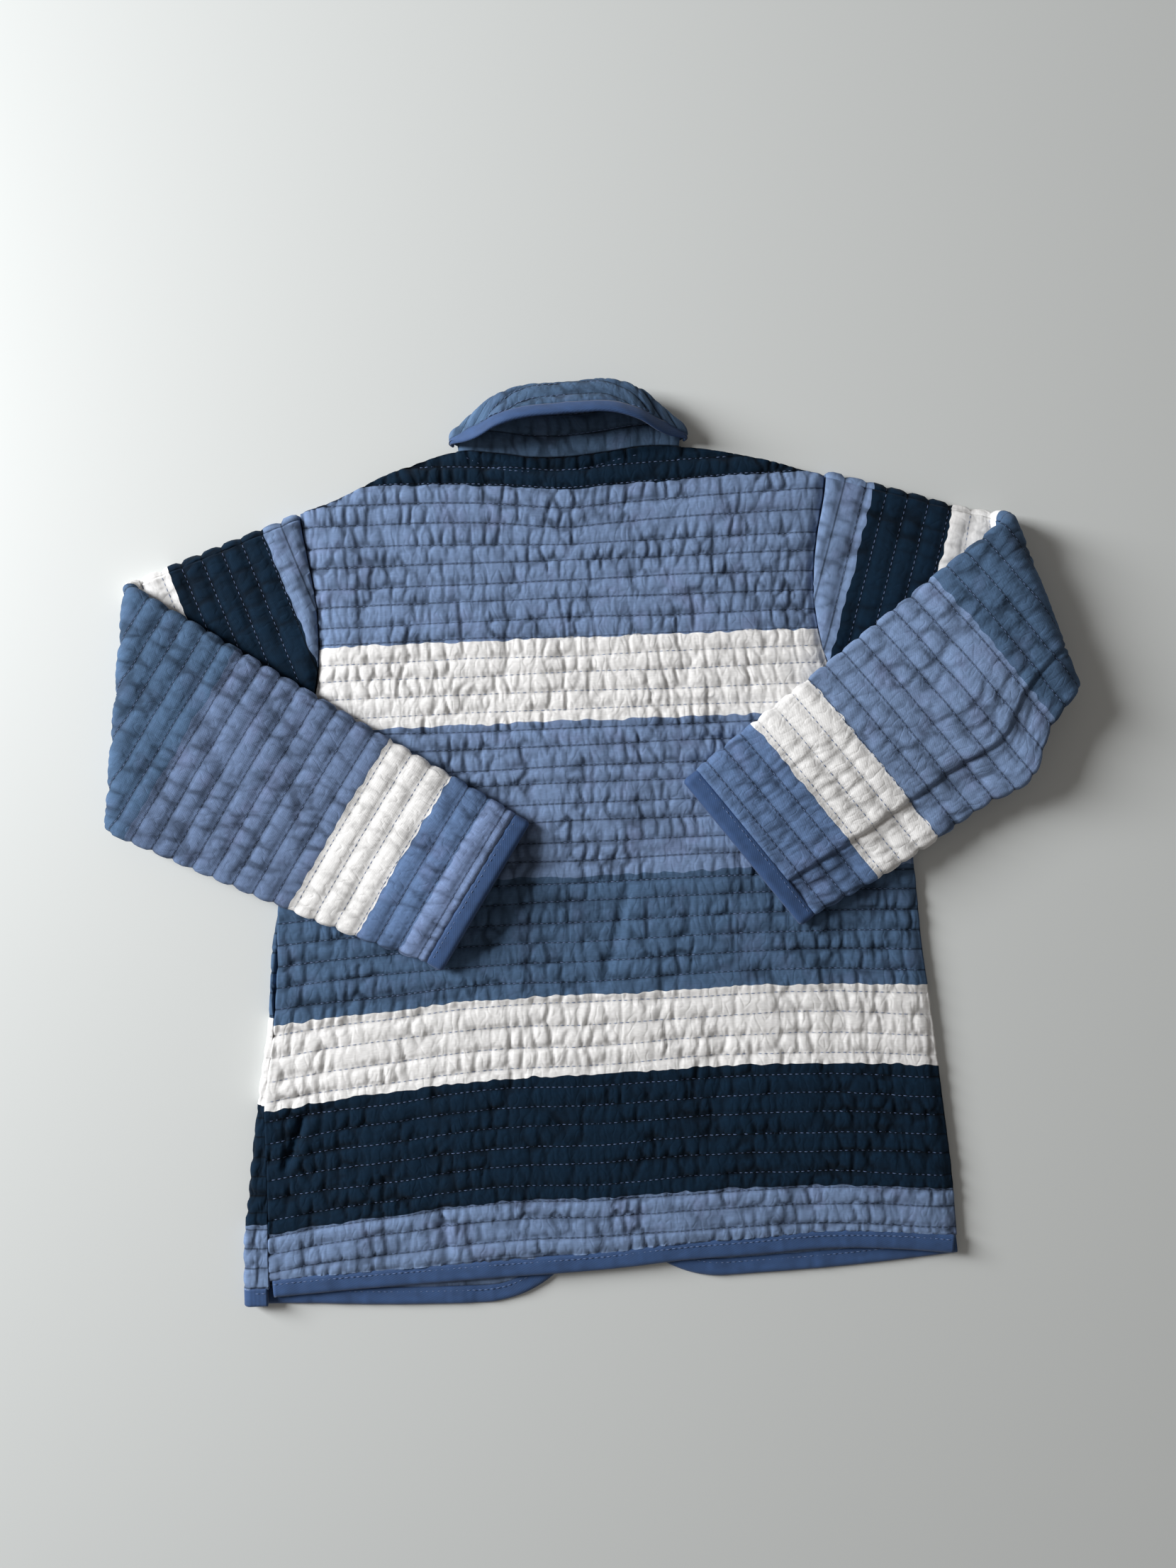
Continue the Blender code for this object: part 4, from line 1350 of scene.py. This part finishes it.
def sleeve_lines(name):
    """A sleeve's rings of quilting, all the way round."""
    lines = []
    for row in range(1, int(SLEEVES[name]["length"] / SLEEVE_PITCH) + 1):
        flat, angle, at = round_sleeve(np.linspace(0, 1, ROUND_POINTS))
        along = np.full_like(at, row * SLEEVE_PITCH)
        inside = along > sleeve_start(name, flat, angle) + 2
        inside &= along < SLEEVES[name]["length"] - 1.5
        depth = sleeve_relief(name, along, at)
        points = sleeve_place(name, along, flat, angle, depth)
        facing = sleeve_place(name, along, flat, angle, depth - 1.0) - points
        for part in stretches(inside):
            lines.append((points[part], facing[part]))
    return lines


for name in SLEEVES:
    thread_pieces[name] = sew(name + "_stitches", sleeve_lines(name))


# %% Stitches on the collar
def collar_lines():
    """The collar's quilting on the side that shows: two lines on the stand and two on the fall."""
    stops = np.linspace(-4.2, 4.2, 240)
    run_along = distances(np.array([collar_place(at, 0.0, 0.0, 0.0) for at in stops]))
    lines = []
    for number, face in ((1, -1), (2, -1), (4, 1), (5, 1)):
        points, lifted = [], []
        for at, along in zip(stops, run_along):
            *sizes, thick = collar_station(at)[4:]
            run = min(number * COLLAR_PITCH, collar_width(*sizes) - 0.8)
            level = float(collar_level(at, face, along, run, thick))
            points.append(collar_place(at, 0.0, run, level))
            lifted.append(collar_place(at, 0.0, run, level + face * 0.5))
        lines.append((np.array(points), np.array(lifted) - np.array(points)))
    return lines


thread_pieces["collar"] = sew("collar_stitches", collar_lines())


# %% Stitches on the bindings
FROM_SEAM = 1.9  # how far from a binding's seam its line of stitches runs


def edge_line(points, level):
    """The line that holds a binding down, on its upper side."""
    return np.column_stack([points, np.full(len(points), level + 0.05)]), upright(points)


edge_lines = []
for name, (path, outward, under) in binding_paths.items():
    stitched = path + outward * FROM_SEAM
    if name == "front_left_binding":
        past = through(SIDE_WRAP, stitched[:, 1], 1) - stitched[:, 0]
        over = stitched[past > np.pi * FOLD_MIDDLE]
        stitched = stitched[past < -1.0]
        across, level = wrapped(over[:, 0], np.zeros(len(over)), through(SIDE_WRAP, over[:, 1], 1))
        edge_lines.append(edge_line(np.column_stack([across, over[:, 1]]), float(level.max())))
    edge_lines.append(edge_line(stitched, under + BINDING_THICK))
thread_pieces["bindings"] = sew("binding_stitches", edge_lines)


def cuff_line(name):
    """The line that holds a cuff's binding down."""
    flat, angle, _ = round_sleeve(np.linspace(0, 1, ROUND_POINTS))
    along = np.full_like(flat, SLEEVES[name]["length"] + FROM_SEAM)
    points = sleeve_place(name, along, flat, angle, np.full_like(flat, WALL - BINDING_THICK - 0.05))
    return points, sleeve_place(name, along, flat, angle, np.full_like(flat, -0.4)) - points


thread_pieces["cuffs"] = sew("cuff_stitches", [cuff_line(name) for name in SLEEVES])

# %% [markdown]
# ## Washed patchwork cotton
#
# The cloth is a plain-woven cotton, garment washed, so its dye is a little uneven. Its crests are
# rubbed paler and its creases darker, partly wear and partly painted shade, and the lines of
# stitches carry painted shade from their grooves. The bands are separate strips of cloth, so they
# change sharply at their seams. The cotton has a short fuzz, which gives it a faint sheen and no
# gloss. The weave is drawn at 0.7 mm, a little coarser than the real half millimetre, because a
# finer one doesn't show in the picture.


# %% Shorter names for common nodes
def calc(tree, operation, *values):
    """The result of a Math node, from values or sockets."""
    return add_node(tree, "ShaderNodeMath", dict(enumerate(values)), operation=operation).outputs[0]


def spread(tree, value, low, high, to_low=0.0, to_high=1.0):
    """A value between two limits, brought between two others."""
    inputs = {"Value": value, "From Min": low, "From Max": high, "To Min": to_low, "To Max": to_high}
    return add_node(tree, "ShaderNodeMapRange", inputs).outputs[0]


def noise(tree, vector, scale, detail, roughness=0.5):
    """Smooth noise, from 0 to 1."""
    inputs = {"Vector": vector, "Scale": scale, "Detail": detail, "Roughness": roughness}
    return add_node(tree, "ShaderNodeTexNoise", inputs).outputs["Fac"]


def mixed(tree, share, first, second):
    """Two colours mixed, the second one by its share."""
    inputs = {"Factor": share, 6: first, 7: second}
    return add_node(tree, "ShaderNodeMix", inputs, data_type="RGBA").outputs[2]


def stretched(tree, vector, scale):
    """A place on the cut, stretched by a scale for each direction."""
    return add_node(tree, "ShaderNodeMapping", {"Vector": vector, "Scale": scale}).outputs[0]


def scaled(tree, colour, factor):
    """A colour made lighter or darker."""
    inputs = {0: colour, "Scale": factor}
    return add_node(tree, "ShaderNodeVectorMath", inputs, operation="SCALE").outputs[0]


# %% Cloth colours
NAVY, LIGHT, STEEL, WHITE = "#0a2134", "#7389ac", "#4a6381", "#eeedec"
# The third of these is the light blue darkened with painted shade, for the middle band of the left
# sleeve
MID, PALE, LIGHT_PAINTED_SHADE = "#5f789f", "#7b90b8", "#66799a"
PURPLE = "#7b7fa5"
WEAVE = 0.7  # the weave's repeat in millimetres


def patchwork(tree, place, bands, lowest, highest):
    """Bands of colour with sharp seams, each given by where it starts and its colour."""
    ramp = add_node(tree, "ShaderNodeValToRGB", {"Fac": spread(tree, place, lowest, highest)})
    stops = ramp.color_ramp.elements
    ramp.color_ramp.interpolation = "CONSTANT"
    for k, (start, colour) in enumerate(bands):
        at = min(max((start - lowest) / (highest - lowest), 0.0), 1.0)
        stop = stops[k] if k < 2 else stops.new(at)
        stop.position = at
        stop.color = linear(colour)
    return ramp.outputs["Color"]


def washed_cotton(name, bands, lowest, highest, mottle_seed):
    """Patchwork cotton: bands are (where each starts going up the cut, its colour)."""
    made, tree = new_material(name)
    cut = add_node(tree, "ShaderNodeAttribute", {}, attribute_name="cut").outputs["Vector"]
    across, up, row = add_node(tree, "ShaderNodeSeparateXYZ", {0: cut}).outputs
    # The seams between the bands waver a little
    waver = calc(tree, "MULTIPLY_ADD", noise(tree, cut, 0.07, 1.0), 2.0, -2.2)
    waver = calc(tree, "MULTIPLY_ADD", noise(tree, cut, 0.19, 0.0), 2.4, waver)
    plain = patchwork(tree, calc(tree, "ADD", up, waver), bands, lowest, highest)
    # Uneven dye: soft patches, some of them a little more purple, but not on navy or white
    offset = (mottle_seed * 37.0, mottle_seed * 11.0, 0.0)
    shifted = add_node(tree, "ShaderNodeVectorMath", {0: cut, 1: offset}).outputs[0]
    purple = spread(tree, noise(tree, shifted, 0.055, 5.0, 0.6), 0.52, 0.72, 0.0, 0.30)
    light = add_node(tree, "ShaderNodeRGBToBW", {"Color": plain}).outputs[0]
    is_white = calc(tree, "GREATER_THAN", light, 0.5)
    uneven = calc(tree, "SUBTRACT", spread(tree, light, 0.06, 0.2), is_white)
    dyed = mixed(tree, uneven, plain, mixed(tree, purple, plain, linear(PURPLE)))
    # The lines of stitches are darkened with painted shade, the shade of their grooves, less on white
    off_line = calc(tree, "SUBTRACT", calc(tree, "PINGPONG", row, 1.0), 0.5)
    stitched = spread(tree, calc(tree, "ABSOLUTE", off_line), 0.44, 0.485)
    groove_shade_strength = calc(tree, "MULTIPLY_ADD", is_white, 0.44, -0.60)
    line = calc(tree, "MULTIPLY_ADD", stitched, groove_shade_strength, 1.0)
    # The creases are darker and the crests paler: partly wash wear, partly painted shade in the
    # creases; it shows less on white
    sunk = add_node(tree, "ShaderNodeAttribute", {}, attribute_name="sunk").outputs["Fac"]
    less_on_white = calc(tree, "MULTIPLY_ADD", is_white, -0.6, 1.0)
    creases = spread(tree, sunk, 0.0, 1.4, 0.14, -0.48)
    wear_and_painted_shade = calc(tree, "MULTIPLY", calc(tree, "MULTIPLY_ADD", creases, less_on_white, 1.0), line)
    slubs = noise(tree, stretched(tree, cut, (0.5, 2.2, 1.0)), 0.6, 4.0)
    streaked = calc(tree, "MULTIPLY", wear_and_painted_shade, spread(tree, slubs, 0.2, 0.8, 0.88, 1.12))
    # Plain weave: warp and weft cross at right angles, over and under
    warp = calc(tree, "SINE", calc(tree, "MULTIPLY", across, 2 * math.pi / WEAVE))
    weft = calc(tree, "SINE", calc(tree, "MULTIPLY", up, 2 * math.pi / WEAVE))
    weave = calc(tree, "MULTIPLY", warp, weft)
    shade = calc(tree, "MULTIPLY", streaked, spread(tree, weave, -1.0, 1.0, 0.965, 1.035))
    fuzzy = calc(tree, "MULTIPLY_ADD", noise(tree, cut, 1.9, 3.0), 1.4, weave)
    threads = {"Height": fuzzy, "Strength": 0.35, "Distance": 0.00012}
    woven = add_node(tree, "ShaderNodeBump", threads).outputs[0]
    # The finest wrinkles, too small for the mesh: sharp where smooth noise passes its middle value
    small = noise(tree, stretched(tree, shifted, (1.0, 0.6, 0.0)), 0.2, 1.0)
    off_middle = calc(tree, "ABSOLUTE", calc(tree, "SUBTRACT", small, 0.5))
    wrinkles = {
        "Height": spread(tree, off_middle, 0.0, 0.10),
        "Strength": 0.35,
        "Distance": 0.0004,
        "Normal": woven,
    }
    finish_surface(
        tree,
        Base_Color=scaled(tree, dyed, shade),
        Normal=add_node(tree, "ShaderNodeBump", wrinkles).outputs[0],
        Roughness=0.92,
        Specular_IOR_Level=0.12,
        Sheen_Weight=0.03,
        Sheen_Roughness=0.55,
    )
    return made


# %% The bands of each piece
BODY_SPAN = (-240.0, 240.0)
SLEEVE_SPAN = (0.0, 340.0)
back_cotton = washed_cotton(
    "washed patchwork cotton, back",
    ((-240, LIGHT), (-184, NAVY), (-121, WHITE), (-80.5, STEEL), (-17, LIGHT), (63.5, WHITE),
     (105.6, LIGHT), (182.6, NAVY)),
    *BODY_SPAN, 1,
)
front_cotton = washed_cotton(
    "washed patchwork cotton, fronts",
    ((-240, LIGHT), (-192, NAVY), (-131, WHITE), (-86, STEEL), (-17, LIGHT), (63.5, WHITE),
     (105.6, LIGHT), (184, NAVY)),
    *BODY_SPAN, 2,
)
left_cotton = washed_cotton(
    "washed patchwork cotton, left sleeve",
    ((0, LIGHT), (20.4, NAVY), (73.8, WHITE), (98, STEEL), (164.5, LIGHT_PAINTED_SHADE), (255, WHITE),
     (291.6, MID), (314, PALE)),
    *SLEEVE_SPAN, 3,
)
right_cotton = washed_cotton(
    "washed patchwork cotton, right sleeve",
    ((0, LIGHT), (25.5, NAVY), (68.6, WHITE), (95, STEEL), (154, LIGHT), (234.6, WHITE),
     (271.3, MID)),
    *SLEEVE_SPAN, 4,
)
# The stand's band is a paler blue than the fall's steel: painted light, lifting the stand out of the
# shade under the fall
collar_bands_stand_painted_light = ((0, "#56708f"), (26, STEEL))
collar_cotton = washed_cotton("washed cotton, collar", collar_bands_stand_painted_light, 0.0, 100.0, 5)
print("cottons made")

# %% [markdown]
# ## Cotton twill and thread
#
# The bindings are a smooth, closely woven twill in a stronger blue. Its fine diagonal ribs catch
# a little light. The thread is a matt polyester.


# %% Twill
def cotton_twill(name, colour):
    """Binding cloth with fine diagonal ribs."""
    made, tree = new_material(name)
    cut = add_node(tree, "ShaderNodeAttribute", {}, attribute_name="cut").outputs["Vector"]
    wave = {"Vector": cut, "Scale": 0.28, "Distortion": 0.4}
    ribs = add_node(tree, "ShaderNodeTexWave", wave, bands_direction="DIAGONAL").outputs["Fac"]
    worn = spread(tree, noise(tree, cut, 0.16, 4.0), 0.25, 0.75, 0.82, 1.16)
    shade = calc(tree, "MULTIPLY", worn, spread(tree, ribs, 0.0, 1.0, 0.95, 1.05))
    raised = {"Height": ribs, "Strength": 0.3, "Distance": 0.0001}
    finish_surface(
        tree,
        Base_Color=scaled(tree, linear(colour)[:3], shade),
        Normal=add_node(tree, "ShaderNodeBump", raised).outputs[0],
        Roughness=0.78,
        Sheen_Weight=0.1,
    )
    return made


twill = cotton_twill("cotton twill, binding", "#2f4d7a")
print("twill made")

# %% Thread
thread, thread_tree = new_material("polyester thread, mid blue")
strand = add_node(thread_tree, "ShaderNodeTexCoord", {}).outputs["Object"]
tone = add_node(thread_tree, "ShaderNodeValToRGB", {"Fac": noise(thread_tree, strand, 900.0, 1.0)})
for stop, colour in zip(tone.color_ramp.elements, ("#455a84", "#7387ac")):
    stop.color = linear(colour)
finish_surface(thread_tree, Base_Color=tone.outputs["Color"], Roughness=0.6)
print("thread made")

# %% [markdown]
# ## Putting it together
#
# Each piece gets its cloth, rides on the one rigid body and stands for its solid.

# %% Dress the pieces
place_on_body(back, back_cotton, "back")
place_on_body(front_left, front_cotton, "front_left")
place_on_body(front_right, front_cotton, "front_right")
place_on_body(sleeves["sleeve_left"], left_cotton, "sleeve_left")
place_on_body(sleeves["sleeve_right"], right_cotton, "sleeve_right")
place_on_body(collar, collar_cotton, "collar")
for name, node in (
    ("hem_binding", "binding_hem_back"),
    ("front_left_binding", "binding_front_left"),
    ("front_right_binding", "binding_front_right"),
    ("cuff_binding_left", "binding_cuff_left"),
    ("cuff_binding_right", "binding_cuff_right"),
    ("collar_binding", "binding_collar"),
):
    place_on_body(bindings[name], twill, node)
for piece in thread_pieces.values():
    place_on_body(piece, thread)
